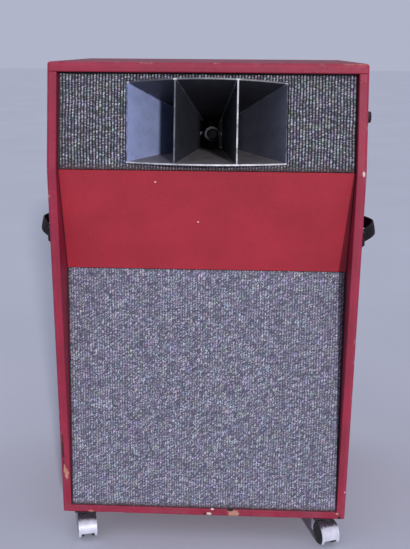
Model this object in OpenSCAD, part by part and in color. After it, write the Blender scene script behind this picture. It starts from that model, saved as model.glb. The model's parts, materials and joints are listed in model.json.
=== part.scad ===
// Loudspeaker cabinet with a leaning three-cell horn above a 15 inch bass driver, on castors.
// Millimetres, +Z up. The origin is on the floor below the middle of the box.
// The front faces -Y, and +X is to the right of someone who looks at the front.

/* [Box] */
// Outer width of the box
box_w = 650; // [600:5:760]
// Height of the box without the castors
box_h = 1010; // [960:5:1200]
// Depth of the box from the nose to the back edges
box_d = 510; // [500:5:640]
// Thickness of the side, top and bottom boards
board_t = 20; // [16:1:24]
// Radius on the outer edges of the box
edge_r = 8; // [4:1:10]
// Radius of the bend at the nose of the side boards
nose_r = 60; // [20:5:120]
// Radius on the inner front edges of the boards
lip_r = 2.5; // [1:0.5:4]
// Thickness of the back panel
back_t = 15; // [10:1:20]
// How far the back panel lies inside the back edges
back_recess = 10; // [8:1:14]
// Side of the square battens
batten = 20; // [14:1:24]
// Gap left at the ends of the inner boards
fit_gap = 1; // [0.5:0.1:1.2]

/* [Front] */
// Height of the leaning upper section, from the nose to the top
nose_h = 213; // [205:1:240]
// How far the top front edge lies behind the nose
set_back = 50; // [30:1:60]
// How far the horn cloth lies behind the leaning edges
horn_recess = 17; // [12:1:24]
// How far the top edge of the sloping panel lies behind the nose
slope_recess = 15; // [12:1:20]
// Height of the sloping panel
slope_h = 223; // [180:1:240]
// Thickness of the sloping panel
slope_t = 15; // [12:1:18]
// How far the top of the bass cloth lies behind the front edges
bass_recess_top = 65; // [45:1:75]
// How far the bottom of the bass cloth lies behind the front edges
bass_recess_bottom = 3; // [1:1:8]
// Thickness of the horn baffle and the bass baffle
baffle_t = 18; // [15:1:22]
// Thickness of the woven grille cloth
cloth_t = 1.6; // [1:0.1:2.5]
// Gap between the edges of each cloth and the boards beside it
cloth_gap = 3.5; // [2:0.5:6]

/* [Horn] */
// Inner width of the horn at the ends of its mouth
mouth_w = 324; // [280:2:360]
// Inner height of the horn at the ends of its mouth
mouth_h = 159; // [140:1:170]
// Height of the middle of the mouth above the nose
mouth_rise = 94; // [90:1:98]
// How far the middle of the mouth stands in front of its ends
mouth_bulge = 34; // [20:1:45]
// Inner width at the throat plate
throat_w = 80; // [76:1:100]
// Inner height at the throat plate
throat_h = 64; // [62:1:80]
// How far the throat lies above the middle of the mouth, square to the horn's axis
throat_rise = 22; // [0:1:26]
// Thickness of the sheet metal
sheet_t = 3; // [2:0.5:4]
// Distance of each vane from the middle at the mouth
vane_mouth = 60; // [48:1:70]
// Distance of each vane from the middle at its inner end
vane_inner = 28; // [20:1:30]
// Length of the open chamber between the vanes and the throat plate
chamber_l = 45; // [36:1:70]
// Diameter of the throat
throat_d = 25.4; // [24:0.1:30]
// Thickness of the throat plate
throat_plate_t = 4; // [3:0.5:6]
// Diameter of the circle of driver bolts
bolt_circle = 50; // [50:1:56]
// Diameter of the driver bolts
bolt_d = 6; // [5:0.5:6]
// Width of the flanges that hold the horn behind its baffle
flange_w = 14; // [10:1:16]
// Gap between the horn and the edge of its opening
horn_gap = 1.4; // [1:0.1:2]

/* [Compression driver] */
// Diameter of the driver
cd_d = 116; // [100:1:130]
// Length of the driver behind the throat plate
cd_l = 70; // [60:1:76]
// Diameter of the rear cap
cd_cap_d = 92; // [80:1:96]
// Length of the rear cap
cd_cap_l = 14; // [8:1:16]
// Gap between the rear cap and the back panel
cd_clear = 10; // [6:1:30]

/* [Bass driver] */
// Height of the middle of the bass driver above the floor
bass_z = 355; // [340:1:380]
// Diameter of the cut-out in the bass baffle
cutout_d = 356; // [352:1:360]
// Width of the basket's rim around the cut-out
basket_rim = 15; // [13:1:18]
// Width of the step inside the basket's rim
basket_step = 6; // [5:1:8]
// Depth of the basket
basket_l = 104; // [98:1:120]
// Thickness of the basket metal
basket_t = 2; // [1.5:0.1:2.5]
// Width of the half-roll surround
surround_w = 23.4; // [20:0.2:28]
// Depth of the cone
cone_l = 63; // [55:1:66]
// Thickness of the cone paper
cone_t = 1.2; // [0.8:0.1:1.6]
// Outer diameter of the voice coil
coil_d = 64.8; // [60:0.2:66]
// Thickness of the voice coil wall
coil_t = 1.4; // [1:0.1:1.6]
// Radius of the seat of the spider
spider_r = 100; // [92:1:110]
// Radius of the front plate of the magnet
front_plate_r = 76; // [76:1:86]
// Radius of the dust cap
cap_r = 40; // [36:1:50]
// Rise of the dust cap
cap_rise = 12; // [8:1:16]
// Diameter of the magnet ring
magnet_d = 180; // [150:1:200]
// Thickness of the magnet ring
magnet_t = 24; // [18:1:30]
// Thickness of the front plate and the back plate of the magnet
pole_t = 8; // [6:1:10]
// Number of basket windows
windows = 6; // [4:1:8]
// Number of basket bolts
basket_bolts = 8; // [4:1:10]

/* [Crossover] */
// Width of the crossover board
xo_w = 180; // [140:5:220]
// Depth of the crossover board
xo_d = 120; // [90:5:150]
// Thickness of the crossover board
xo_t = 9; // [6:1:12]
// Gap between the crossover board and the right side
xo_side = 65; // [30:1:100]
// Gap between the crossover board and the rear battens
xo_back = 60; // [10:1:90]
// Diameter of the coil
xo_coil_d = 68; // [50:1:80]
// Height of the coil
xo_coil_h = 30; // [20:1:40]
// Diameter of the capacitors
xo_cap_d = 24; // [16:1:28]
// Length of the capacitors
xo_cap_l = 56; // [40:1:64]

/* [Level control] */
// Distance of the knob behind the nose
knob_y = 115; // [105:1:140]
// Height of the knob above the nose
knob_rise = 103; // [90:1:125]
// Diameter of the knob
knob_d = 25; // [22:1:32]
// Length of the knob
knob_l = 16.5; // [14:0.5:22]
// Diameter of the control shaft
shaft_d = 6; // [5:0.5:6.5]

/* [Rear input] */
// Height of the input plate's middle above the bottom of the box
input_rise = 200; // [120:5:300]
// Width of the input plate
input_w = 90; // [70:1:120]
// Height of the input plate
input_h = 60; // [50:1:80]
// Diameter of the jack bore
jack_d = 6.5; // [6.4:0.05:6.6]
// Length of the jack bore
jack_l = 32; // [28:1:34]

/* [Strap handles] */
// Height of the strap's middle below the nose
strap_drop = 137; // [90:1:220]
// Distance of the front cap's middle behind the nose
strap_y = 22; // [18:1:40]
// Free length of the strap between its caps
strap_free = 180; // [150:2:200]
// Height of the strap
strap_h = 28; // [22:1:34]
// Thickness of the strap
strap_t = 4; // [3:0.5:5]
// How far the middle of the strap stands off the side
strap_bulge = 36; // [28:1:42]
// Length of each end cap
cap_l = 26; // [22:1:32]

/* [Castors] */
// Height of the castors from the floor to the box
castor_h = 60; // [58:1:68]
// Wheel diameter
wheel_d = 50; // [46:1:50]
// Wheel width
wheel_w = 12; // [12:0.5:15]
// Gap between the two wheels of a castor
wheel_gap = 17; // [17:0.5:19]
// Distance of the axle from the stem
trail = 22; // [20:0.5:23]
// Diameter of the stem
stem_d = 10; // [8:0.5:10.5]
// Diameter of the axle
axle_d = 6; // [5:0.5:7]
// Side of the square mounting plate
castor_plate = 46; // [42:1:48]
// Height of the hood's front edge above the floor
skirt_z = 12; // [6:1:16]
// Distance of the stems from the sides of the box
castor_in_x = 49; // [44:1:70]
// Distance of the stems from the front and the back of the box
castor_in_y = 26; // [25:1:60]
// Rest angle of the front left castor
yaw_fl = 14; // [0:1:30]
// Rest angle of the front right castor
yaw_fr = 20; // [0:1:30]
// Rest angle of the rear left castor
yaw_rl = 200; // [180:1:210]
// Rest angle of the rear right castor
yaw_rr = 194; // [180:1:210]

/* [Hidden] */
$fn = 96;

// Planes of the box
edge_bite = 0.12;
in_w = box_w - 2 * board_t;
y_nose = -box_d / 2;
y_rear = box_d / 2;
z_bot = castor_h;
z_floor_in = castor_h + board_t;
z_top = castor_h + box_h;
z_roof_in = z_top - board_t;
z_nose = z_top - nose_h;
y_top = y_nose + set_back;
lean = atan2(set_back, nose_h);
front_l = in_w - 2 * fit_gap;
cloth_l = in_w - 2 * cloth_gap;
y_back_in = y_rear - back_recess - back_t;

// Sloping panel: its front face runs from the nose down and back
slope_top = [y_nose + slope_recess, z_nose - 1];
slope_bot = [y_nose + bass_recess_top, z_nose - slope_h];
slope_run = atan2(slope_bot[0] - slope_top[0], slope_top[1] - slope_bot[1]);
slope_dy = slope_t / cos(slope_run);

// Bass section: the cloth runs from the floor board up to the sloping panel
bass_top = [slope_bot[0], slope_bot[1]];
bass_bot = [y_nose + bass_recess_bottom, z_floor_in];
bass_lean = atan2(bass_top[0] - bass_bot[0], bass_top[1] - bass_bot[1]);

// Horn frame: middle of the mouth's chord, in the plane of the cloth
mouth_z = z_nose + mouth_rise;
mouth_y = front_y(mouth_z) + horn_recess;
mouth_r = (pow(mouth_w / 2, 2) + pow(mouth_bulge, 2)) / (2 * mouth_bulge);
// The rear cap's upper edge is what comes nearest to the back panel
cap_bevel = 4;
cap_reach = (throat_rise + cd_cap_d / 2 - cap_bevel) * sin(lean);
horn_l = (y_back_in - cd_clear - mouth_y - cap_reach) / cos(lean) - throat_plate_t - cd_l - cd_cap_l;
bore_r = bolt_d / 2;
horn_far = 2 * mouth_w;

// Bass driver: clearances of the moving parts
rim_gap = 0.3;
gap_w = 0.8;
cutout_r = cutout_d / 2;
basket_r = cutout_r + basket_rim;
coil_r = coil_d / 2;
flange_in = cutout_r - basket_step;
cone_r = flange_in - 2 * rim_gap - surround_w;
shelf = 9;
spider_z = basket_l - 25;
neck_z = shelf + cone_l;
spider_rim = 12;
spider_foot = 8;
back_r = front_plate_r + 6;

// Castors
axle_z = wheel_d / 2;
plate_t = 2.5;
collar_t = 1.8;
hood_w = 2 * wheel_w + wheel_gap + 1;
hood_r = wheel_d / 2 + 4;
pocket_r = wheel_d / 2 + 1.3;
hood_rim = 5;
hood_top = castor_h - plate_t - collar_t - 0.1;
run_gap = 0.05;

// Height of the box's front edge line, and the front edge's y at a height
function front_y(z) = z <= z_nose ? y_nose : y_nose + (z - z_nose) * set_back / nose_h;
function mix(a, b, t) = a + (b - a) * t;
// y of the bass cloth's front face at a height
function bass_y(z) = mix(bass_bot[0], bass_top[0], (z - bass_bot[1]) / (bass_top[1] - bass_bot[1]));
// Half width and plate heights of the horn at a distance behind the mouth
function half_w(u) = mix(mouth_w, throat_w, u / horn_l) / 2;
function upper(u) = mix(mouth_h / 2, throat_rise + throat_h / 2, u / horn_l);
function lower(u) = mix(-mouth_h / 2, throat_rise - throat_h / 2, u / horn_l);
// Places of the back panel's screws
back_screw_x = in_w / 2 - batten / 2;
back_screw_z = (z_roof_in - z_floor_in) / 2 - batten / 2;
function back_points() = concat(
    [for (s = [-1, 1], k = [-1.5:1:1.5]) [k * back_screw_x / 1.5, s * back_screw_z]],
    [for (s = [-1, 1], k = [-0.5, 0, 0.5]) [s * back_screw_x, k * 2 * back_screw_z * 0.55]]);

// A flat shape in the y-z plane drawn out along x, and one in the x-z plane along y
module along_x(l) {
    rotate([90, 0, 90])
        linear_extrude(l, center = true)
            children();
}
module along_y(l) {
    rotate([90, 0, 0])
        linear_extrude(l, center = true)
            children();
}
module rounded(w, h, r) {
    square([w - 2 * r, h], center = true);
    square([w, h - 2 * r], center = true);
    for (x = [-1, 1], y = [-1, 1])
        translate([x * (w / 2 - r), y * (h / 2 - r)])
            circle(r);
}
// Side view of the box between two heights
module box_profile(z0, z1) {
    intersection() {
        polygon([[y_nose, z_bot], [y_rear, z_bot], [y_rear, z_top], [y_top, z_top],
            [y_nose, z_nose]]);
        translate([y_nose - 1, z0])
            square([box_d + 2, z1 - z0]);
    }
}
// What rounding takes off a corner p between the directions a and b; the arc meets both
// faces at a small angle, as a cover's edge does
module corner_cut(p, a, b, r) {
    h = (b - a) / 2;
    c = p + (r - edge_bite) / sin(h) * [cos((a + b) / 2), sin((a + b) / 2)];
    ta = p + (r - edge_bite) / tan(h) * [cos(a), sin(a)];
    tb = p + (r - edge_bite) / tan(h) * [cos(b), sin(b)];
    difference() {
        polygon([c, mix(c, ta, 1.5), mix(c, p, 1.5), mix(c, tb, 1.5)]);
        translate(c)
            circle(r);
    }
}
// Section of the edges beside the front at y = 0, with the lips that only the side boards have
module front_corners(lips) {
    for (m = [0, 1])
        mirror([m, 0]) {
            corner_cut([box_w / 2, 0], 90, 180, edge_r);
            if (lips)
                corner_cut([in_w / 2, 0], 0, 90, lip_r);
        }
}
// Every rounded edge that runs up the front and the back
module upright_cuts(lips) {
    translate([0, y_nose, 0])
        linear_extrude(2 * box_h)
            front_corners(lips);
    translate([0, y_nose, z_nose])
        rotate([-lean, 0, 0])
            linear_extrude(3 * box_h, center = true)
                front_corners(lips);
    linear_extrude(2 * box_h)
        for (m = [0, 1])
            mirror([m, 0])
                corner_cut([box_w / 2, y_rear], 180, 270, edge_r);
}

// Box
module side_board(s) {
    difference() {
        translate([s * (box_w - board_t) / 2, 0, 0])
            along_x(board_t)
                box_profile(z_floor_in, z_roof_in);
        along_x(box_w + 2)
            corner_cut([y_nose, z_nose], -90, 90 - lean, nose_r);
        upright_cuts(true);
    }
}
module left_side() {
    color("firebrick")
        side_board(-1);
}
module right_side() {
    color("firebrick")
        difference() {
            side_board(1);
            level_axis()
                cylinder(r = bush_r + 0.25, h = 3 * board_t, center = true);
        }
}
module cross_board(z0, z1) {
    difference() {
        intersection() {
            along_x(box_w + 2)
                difference() {
                    box_profile(z0, z1);
                    corner_cut([y_top, z_top], 270 - lean, 360, edge_r);
                    corner_cut([y_rear, z_top], 180, 270, edge_r);
                    corner_cut([y_rear, z_bot], 90, 180, edge_r);
                    corner_cut([y_nose, z_bot], 0, 90, edge_r);
                    corner_cut([front_y(z_roof_in), z_roof_in], 0, 90 - lean, lip_r);
                    corner_cut([y_nose, z_floor_in], 270, 360, lip_r);
                }
            translate([0, 0, z_bot + box_h / 2])
                along_y(2 * box_d)
                    rounded(box_w, box_h, edge_r);
        }
        upright_cuts(false);
    }
}
module top_panel() {
    color("firebrick")
        cross_board(z_roof_in, z_top);
}
module bottom_panel() {
    color("firebrick")
        difference() {
            cross_board(z_bot, z_floor_in);
            at_castors()
                for (x = [-1, 1], y = [-1, 1])
                    translate([x * plate_hole, y * plate_hole, castor_h - 1])
                        cylinder(r = 2.05, h = 13);
        }
}
module back_panel() {
    color("saddlebrown")
        translate([0, y_back_in + back_t / 2, (z_floor_in + z_roof_in) / 2])
            difference() {
                cube([in_w - 2 * fit_gap, back_t, z_roof_in - z_floor_in - 2 * fit_gap],
                    center = true);
                for (p = back_points())
                    translate([p[0], 0, p[1]])
                        rotate([90, 0, 0])
                            cylinder(r = screw_r + 0.05, h = 2 * back_t, center = true);
                translate([0, 0, z_bot + input_rise - (z_floor_in + z_roof_in) / 2])
                    rotate([90, 0, 0])
                        cylinder(r = jack_body_r + 0.5, h = 2 * back_t, center = true);
            }
}
screw_r = 2.2;
module back_screws() {
    color("silver")
        for (p = back_points())
            translate([p[0], y_back_in + back_t, (z_floor_in + z_roof_in) / 2 + p[1]])
                rotate([-90, 0, 0])
                    rotate_extrude()
                        polygon([[0, -back_t - 12], [screw_r, -back_t - 10], [screw_r, 0],
                            [4.6, 0], [4.6, 0.8], [3.4, 2.2], [0, 2.8]]);
}
module battens() {
    color("burlywood")
        difference() {
            union() {
                for (s = [-1, 1])
                    translate([s * (in_w - batten) / 2, 0, 0])
                        along_x(batten) {
                            strip(bass_back(z_floor_in + 1), bass_back(bass_top[1] - batten - 4));
                            strip(horn_back(z_nose + 4), horn_back(z_roof_in - 1));
                            translate([y_back_in - batten, z_floor_in])
                                square([batten, z_roof_in - z_floor_in]);
                        }
                for (z = [z_floor_in, z_roof_in - batten])
                    translate([0, y_back_in - batten / 2, z + batten / 2])
                        cube([in_w - 2 * batten, batten, batten], center = true);
                // Cross battens between the sides, behind both edges of the sloping panel
                along_x(in_w) {
                    slope_batten(0.16);
                    slope_batten(0.98);
                }
            }
            translate([0, y_back_in + back_t, (z_floor_in + z_roof_in) / 2])
                for (p = back_points())
                    translate([p[0], 0, p[1]])
                        rotate([90, 0, 0])
                            cylinder(r = screw_r + 0.05, h = back_t + 12.2);
        }
}
// Back face points of the two baffles at a height
function bass_back(z) = [bass_y(z) + (cloth_t + baffle_t) / cos(bass_lean), z];
function horn_back(z) = [front_y(z) + horn_recess + (cloth_t + baffle_t) / cos(lean), z];
module strip(a, b) {
    polygon([a, b, b + [batten, 0], a + [batten, 0]]);
}
// Square batten whose front lies on the back of the sloping panel, a share t of the way down
module slope_batten(t) {
    p = mix(slope_top, slope_bot, t) + [slope_dy, 0];
    translate(p)
        rotate(90 + slope_run)
            translate([0, -batten])
                square([batten, batten]);
}

// Front boards
module horn_board(y0, t, z1) {
    z0 = z_nose;
    polygon([[front_y(z0) + y0, z0], [front_y(z1) + y0, z1],
        [front_y(z1) + y0 + t, z1], [front_y(z0) + y0 + t, z0]]);
}
module horn_window() {
    horn_frame()
        cube([mouth_w + 2 * (sheet_t + horn_gap), 5 * baffle_t, mouth_h + 2 * (sheet_t + horn_gap)],
            center = true);
}
module horn_baffle() {
    color("black")
        difference() {
            along_x(front_l)
                horn_board(horn_recess + cloth_t / cos(lean), baffle_t / cos(lean), z_roof_in);
            horn_window();
        }
}
module horn_cloth() {
    color("dimgray")
        difference() {
            along_x(cloth_l)
                horn_board(horn_recess, cloth_t / cos(lean), z_roof_in - cloth_gap);
            horn_window();
        }
}
module sloping_panel() {
    color("crimson")
        along_x(front_l)
            polygon([slope_top, slope_bot, slope_bot + [slope_dy, 0], slope_top + [slope_dy, 0]]);
}
module bass_board(y0, t) {
    z1 = bass_top[1] - fit_gap;
    polygon([bass_bot + [y0, 0], [bass_y(z1) + y0, z1], [bass_y(z1) + y0 + t, z1],
        bass_bot + [y0 + t, 0]]);
}
module bass_baffle() {
    color("black")
        difference() {
            along_x(front_l)
                bass_board(cloth_t / cos(bass_lean), baffle_t / cos(bass_lean));
            bass_frame() {
                translate([0, 0, -2 * baffle_t])
                    cylinder(r = cutout_r, h = 4 * baffle_t);
                basket_points()
                    translate([0, 0, -12.2])
                        cylinder(r = 2.55, h = 20);
            }
        }
}
module bass_cloth() {
    color("gray")
        along_x(cloth_l)
            bass_board(0, cloth_t / cos(bass_lean));
}

// Horn, in its own frame: x across, y back along its axis, z up along the baffle
module horn_frame() {
    translate([0, mouth_y, mouth_z])
        rotate([-lean, 0, 0])
            children();
}
// Everything behind the curved mouth and inside the outer faces of the side walls
module horn_plan() {
    intersection() {
        linear_extrude(horn_far, center = true)
            polygon([[-half_w(-60) - sheet_t, -60], [half_w(-60) + sheet_t, -60],
                [half_w(horn_l) + sheet_t, horn_l], [-half_w(horn_l) - sheet_t, horn_l]]);
        translate([0, mouth_r - mouth_bulge, 0])
            cylinder(r = mouth_r, h = horn_far, center = true);
    }
}
// The space between the two plates
module horn_between() {
    along_x(2 * mouth_w)
        polygon([[-60, lower(-60)], [horn_l, lower(horn_l)], [horn_l, upper(horn_l)],
            [-60, upper(-60)]]);
}
// A plate on one side of the line between two heights, with its flange behind the baffle
module horn_plate(w0, w1, s) {
    f0 = (cloth_t + baffle_t);
    fm = mix(w0, w1, (f0 + 60) / (horn_l + 60));
    intersection() {
        along_x(2 * mouth_w)
            polygon([[-60, w0], [horn_l, w1], [horn_l, w1 + s * sheet_t],
                [-60, w0 + s * sheet_t]]);
        horn_plan();
    }
    translate([0, f0 + sheet_t / 2, fm + s * (sheet_t + flange_w / 2)])
        cube([mouth_w - 20, sheet_t, flange_w + 2], center = true);
}
module horn_upper_plate() {
    color("dimgray")
        horn_frame()
            horn_plate(upper(-60), upper(horn_l), 1);
}
module horn_lower_plate() {
    color("dimgray")
        horn_frame()
            horn_plate(lower(-60), lower(horn_l), -1);
}
// A sheet that stands between the plates, from one plan point to another
module horn_sheet(a, b, t) {
    intersection() {
        linear_extrude(horn_far, center = true)
            polygon([a, b, b + [t, 0], a + [t, 0]]);
        horn_between();
        translate([0, mouth_r - mouth_bulge, 0])
            cylinder(r = mouth_r, h = horn_far, center = true);
    }
}
module horn_wall(s) {
    horn_frame()
        horn_sheet([s * half_w(-60), -60], [s * half_w(horn_l), horn_l], s * sheet_t);
}
module horn_vane(s) {
    y_in = horn_l - chamber_l;
    run = (vane_mouth - vane_inner) / y_in;
    horn_frame()
        horn_sheet([s * (vane_mouth + 60 * run) - sheet_t / 2, -60],
            [s * vane_inner - sheet_t / 2, y_in], sheet_t);
}
module horn_left_wall() {
    color("slategray")
        horn_wall(-1);
}
module horn_right_wall() {
    color("slategray")
        horn_wall(1);
}
module horn_left_vane() {
    color("slategray")
        horn_vane(-1);
}
module horn_right_vane() {
    color("slategray")
        horn_vane(1);
}
// Drawn along the throat's axis, from the front face of the throat plate backwards
module throat_frame() {
    horn_frame()
        translate([0, horn_l, throat_rise])
            rotate([-90, 0, 0])
                children();
}
module bolt_points() {
    for (a = [0:90:270])
        rotate(a)
            translate([bolt_circle / 2, 0, 0])
                children();
}
module horn_throat_plate() {
    color("gray")
        throat_frame()
            difference() {
                union() {
                    translate([0, 0, throat_plate_t / 2])
                        cube([throat_w + 2 * sheet_t + 20, throat_h + 2 * sheet_t + 20,
                            throat_plate_t], center = true);
                    translate([0, 0, -3])
                        cylinder(d = throat_d + 9.6, h = 4);
                }
                translate([0, 0, -5])
                    cylinder(d = throat_d, h = 20);
                bolt_points()
                    translate([0, 0, -5])
                        cylinder(r = bore_r + 0.1, h = 20);
            }
}
module horn_bolts() {
    color("silver")
        throat_frame()
            bolt_points() {
                translate([0, 0, -3.5])
                    cylinder(r = bore_r + 2, h = 3.5);
                cylinder(r = bore_r, h = throat_plate_t + 8);
            }
}
module horn_driver() {
    r = cd_d / 2;
    color("black")
        throat_frame()
            translate([0, 0, throat_plate_t])
                difference() {
                    rotate_extrude()
                        polygon([[0, 0], [35, 0], [35, 10], [31, 13], [r - 8, 18], [r, 26],
                            [r, cd_l - 5], [r - 5, cd_l], [0, cd_l]]);
                    translate([0, 0, -1])
                        cylinder(d = throat_d, h = 13);
                    bolt_points()
                        translate([0, 0, -1])
                            cylinder(r = bore_r + 0.05, h = 9.2);
                }
}
module horn_driver_cap() {
    r = cd_cap_d / 2;
    color("dimgray")
        throat_frame()
            translate([0, 0, throat_plate_t + cd_l])
                rotate_extrude()
                    polygon([[0, 0], [r, 0], [r, cd_cap_l - cap_bevel], [r - cap_bevel, cd_cap_l], [0, cd_cap_l]]);
}

// Bass driver, along its own axis, backwards from the back face of the baffle
module bass_frame() {
    translate([0, bass_y(bass_z), bass_z])
        rotate([-bass_lean, 0, 0])
            translate([0, cloth_t + baffle_t, 0])
                rotate([-90, 0, 0])
                    children();
}
module basket_points() {
    for (k = [0:basket_bolts - 1])
        rotate(22.5 + k * 360 / basket_bolts)
            translate([(cutout_r + basket_r) / 2, 0, 0])
                children();
}
module woofer_basket() {
    o = basket_r;
    i = flange_in;
    t = basket_t;
    c = cone_r + 8;
    e = spider_r;
    w = spider_r - spider_rim;
    in_r = coil_r + 7.6;
    color("darkslategray")
        bass_frame()
            difference() {
                rotate_extrude()
                    polygon([[i, 0], [o, 0], [o, t], [i + t, t], [i + t, shelf + t],
                        [c + 1, shelf + t], [e + t, spider_z - spider_foot], [e + t, spider_z + t],
                        [w + t, spider_z + t], [back_r, basket_l], [in_r, basket_l],
                        [in_r, basket_l - t], [back_r - t, basket_l - t], [w, spider_z],
                        [e, spider_z], [e, spider_z - spider_foot], [c, shelf], [i, shelf]]);
                for (k = [0:windows - 1])
                    rotate(k * 360 / windows)
                        translate([0, 0, shelf + 8])
                            linear_extrude(spider_z - shelf - 20)
                                polygon([[e + 4, -0.2 * e], [o, -0.46 * e], [o, 0.46 * e], [e + 4, 0.2 * e]]);
                basket_points()
                    cylinder(r = 2.6, h = 3 * t, center = true);
            }
}
module woofer_magnet() {
    color("dimgray")
        bass_frame()
            translate([0, 0, basket_l]) {
                difference() {
                    cylinder(r = front_plate_r, h = pole_t);
                    translate([0, 0, -1])
                        cylinder(r = coil_r + gap_w, h = pole_t + 2);
                }
                translate([0, 0, pole_t])
                    difference() {
                        cylinder(d = magnet_d, h = magnet_t);
                        translate([0, 0, -1])
                            cylinder(r = coil_r + 10, h = magnet_t + 2);
                    }
            }
}
module woofer_pole_piece() {
    r = coil_r - coil_t - gap_w;
    vent_r = r / 3;
    back_plate_r = magnet_d / 2 - 10;
    z0 = basket_l - 3;
    z1 = basket_l + pole_t + magnet_t;
    color("gray")
        bass_frame()
            rotate_extrude()
                polygon([[vent_r, z0], [r, z0], [r, z1], [back_plate_r, z1],
                    [back_plate_r, z1 + pole_t - 2], [back_plate_r - 2, z1 + pole_t],
                    [vent_r, z1 + pole_t]]);
}
// Depth of the cone's front face at a radius: a shallow curve
function cone_z(r) = neck_z - cone_l * pow((r - coil_r) / (cone_r - coil_r), 0.86);
module woofer_cone() {
    n = 14;
    rs = [for (k = [0:n]) mix(coil_r, cone_r, k / n)];
    color("black")
        bass_frame()
            rotate_extrude()
                polygon(concat([for (r = rs) [r, cone_z(r)]],
                    [for (k = [n:-1:0]) [rs[k], cone_z(rs[k]) + cone_t]]));
}
module woofer_dust_cap() {
    // A thin dome whose rim stands on the cone
    ball = (cap_r * cap_r + cap_rise * cap_rise) / (2 * cap_rise);
    color("darkslategray")
        bass_frame()
            translate([0, 0, cone_z(cap_r) - 0.2])
                rotate_extrude()
                    polygon(concat(
                        [for (a = [0:1:12]) let (q = asin(cap_r / ball) * a / 12)
                            [ball * sin(q), -cap_rise + ball * (1 - cos(q))]],
                        [for (a = [12:-1:0]) let (q = asin(cap_r / ball) * a / 12)
                            [(ball - 1) * sin(q), -cap_rise + ball - (ball - 1) * cos(q)]]));
}
module woofer_voice_coil() {
    color("chocolate")
        bass_frame()
            translate([0, 0, neck_z])
                difference() {
                    cylinder(r = coil_r, h = basket_l + pole_t + 6 - neck_z);
                    translate([0, 0, -1])
                        cylinder(r = coil_r - coil_t, h = basket_l);
                }
}
module woofer_surround() {
    // A half roll between the cone's rim and the basket's shelf
    a = cone_r + rim_gap;
    b = a + surround_w;
    m = (a + b) / 2;
    r = surround_w / 2 - 3;
    color("black")
        bass_frame()
            rotate_extrude()
                polygon(concat([[a, shelf], [a, shelf - 1], [m - r, shelf - 1]],
                    [for (q = [15:15:165]) [m - r * cos(q), shelf - 1 - r * sin(q)]],
                    [[m + r, shelf - 1], [b, shelf - 1], [b, shelf], [m + r - 1, shelf]],
                    [for (q = [165:-15:15]) [m - (r - 1) * cos(q), shelf - 1 - (r - 1) * sin(q)]],
                    [[m - r + 1, shelf]]));
}
module woofer_spider() {
    n = 36;
    r0 = coil_r + rim_gap;
    w = spider_r - spider_rim;
    e = spider_r - 0.5;
    rs = [for (k = [0:n]) mix(r0, w, k / n)];
    color("peru")
        bass_frame()
            rotate_extrude()
                polygon(concat([for (k = [0:n]) [rs[k], spider_z - 2 - 1.2 * sin(k * 60)]],
                    [[e, spider_z - 1], [e, spider_z], [w, spider_z]],
                    [for (k = [n:-1:0]) [rs[k], spider_z - 1 - 1.2 * sin(k * 60)]]));
}
module woofer_bolts() {
    color("silver")
        bass_frame()
            basket_points() {
                translate([0, 0, basket_t])
                    cylinder(r = 4.5, h = 3.5);
                translate([0, 0, -12])
                    cylinder(r = 2.5, h = 13 + basket_t);
            }
}

// Crossover on the floor board
xo_x = in_w / 2 - xo_side - xo_w / 2;
xo_y = y_back_in - batten - xo_back - xo_d / 2;
module crossover_board() {
    color("tan")
        translate([xo_x, xo_y, z_floor_in + xo_t / 2])
            cube([xo_w, xo_d, xo_t], center = true);
}
module crossover_coil() {
    color("chocolate")
        translate([xo_x - xo_w / 4, xo_y, z_floor_in + xo_t])
            difference() {
                cylinder(d = xo_coil_d, h = xo_coil_h);
                translate([0, 0, -1])
                    cylinder(d = 0.42 * xo_coil_d, h = xo_coil_h + 2);
            }
}
module crossover_capacitors() {
    color("goldenrod")
        for (k = [-1, 0, 1])
            translate([xo_x + xo_w / 4 - 5, xo_y + k * 1.33 * xo_cap_d, z_floor_in + xo_t + xo_cap_d / 2])
                rotate([0, 90, 0])
                    cylinder(d = xo_cap_d, h = xo_cap_l, center = true);
}

// Level control in the right side
bush_r = shaft_d / 2 + 1.8;
module level_axis() {
    translate([box_w / 2, y_nose + knob_y, z_nose + knob_rise])
        rotate([0, 90, 0])
            children();
}
module level_control() {
    color("gray")
        level_axis()
            difference() {
                union() {
                    translate([0, 0, -board_t - 24])
                        cylinder(r = 20, h = 24);
                    translate([0, 0, -board_t - 1])
                        cylinder(r = bush_r, h = board_t + 4);
                    cylinder(r = bush_r + 5, h = 0.8);
                    translate([0, 0, 0.8])
                        rotate(30)
                            cylinder(r = bush_r + 3.2, h = 2, $fn = 6);
                }
                translate([0, 0, -board_t - 16])
                    cylinder(r = shaft_d / 2 + run_gap, h = board_t + 40);
            }
}
module level_shaft() {
    color("silver")
        level_axis()
            translate([0, 0, -board_t - 15])
                cylinder(d = shaft_d, h = board_t + 15 + 3.5 + knob_l - 3);
}
module level_knob() {
    r = knob_d / 2;
    color("black")
        level_axis()
            translate([0, 0, 3.5])
                rotate_extrude()
                    polygon([[shaft_d / 2 + 0.02, 0], [r, 0], [r, 2.5], [r - 1.5, 3.5],
                        [r - 2.5, knob_l - 1.5], [r - 4, knob_l], [0, knob_l],
                        [0, knob_l - 3], [shaft_d / 2 + 0.02, knob_l - 3]]);
}

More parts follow.
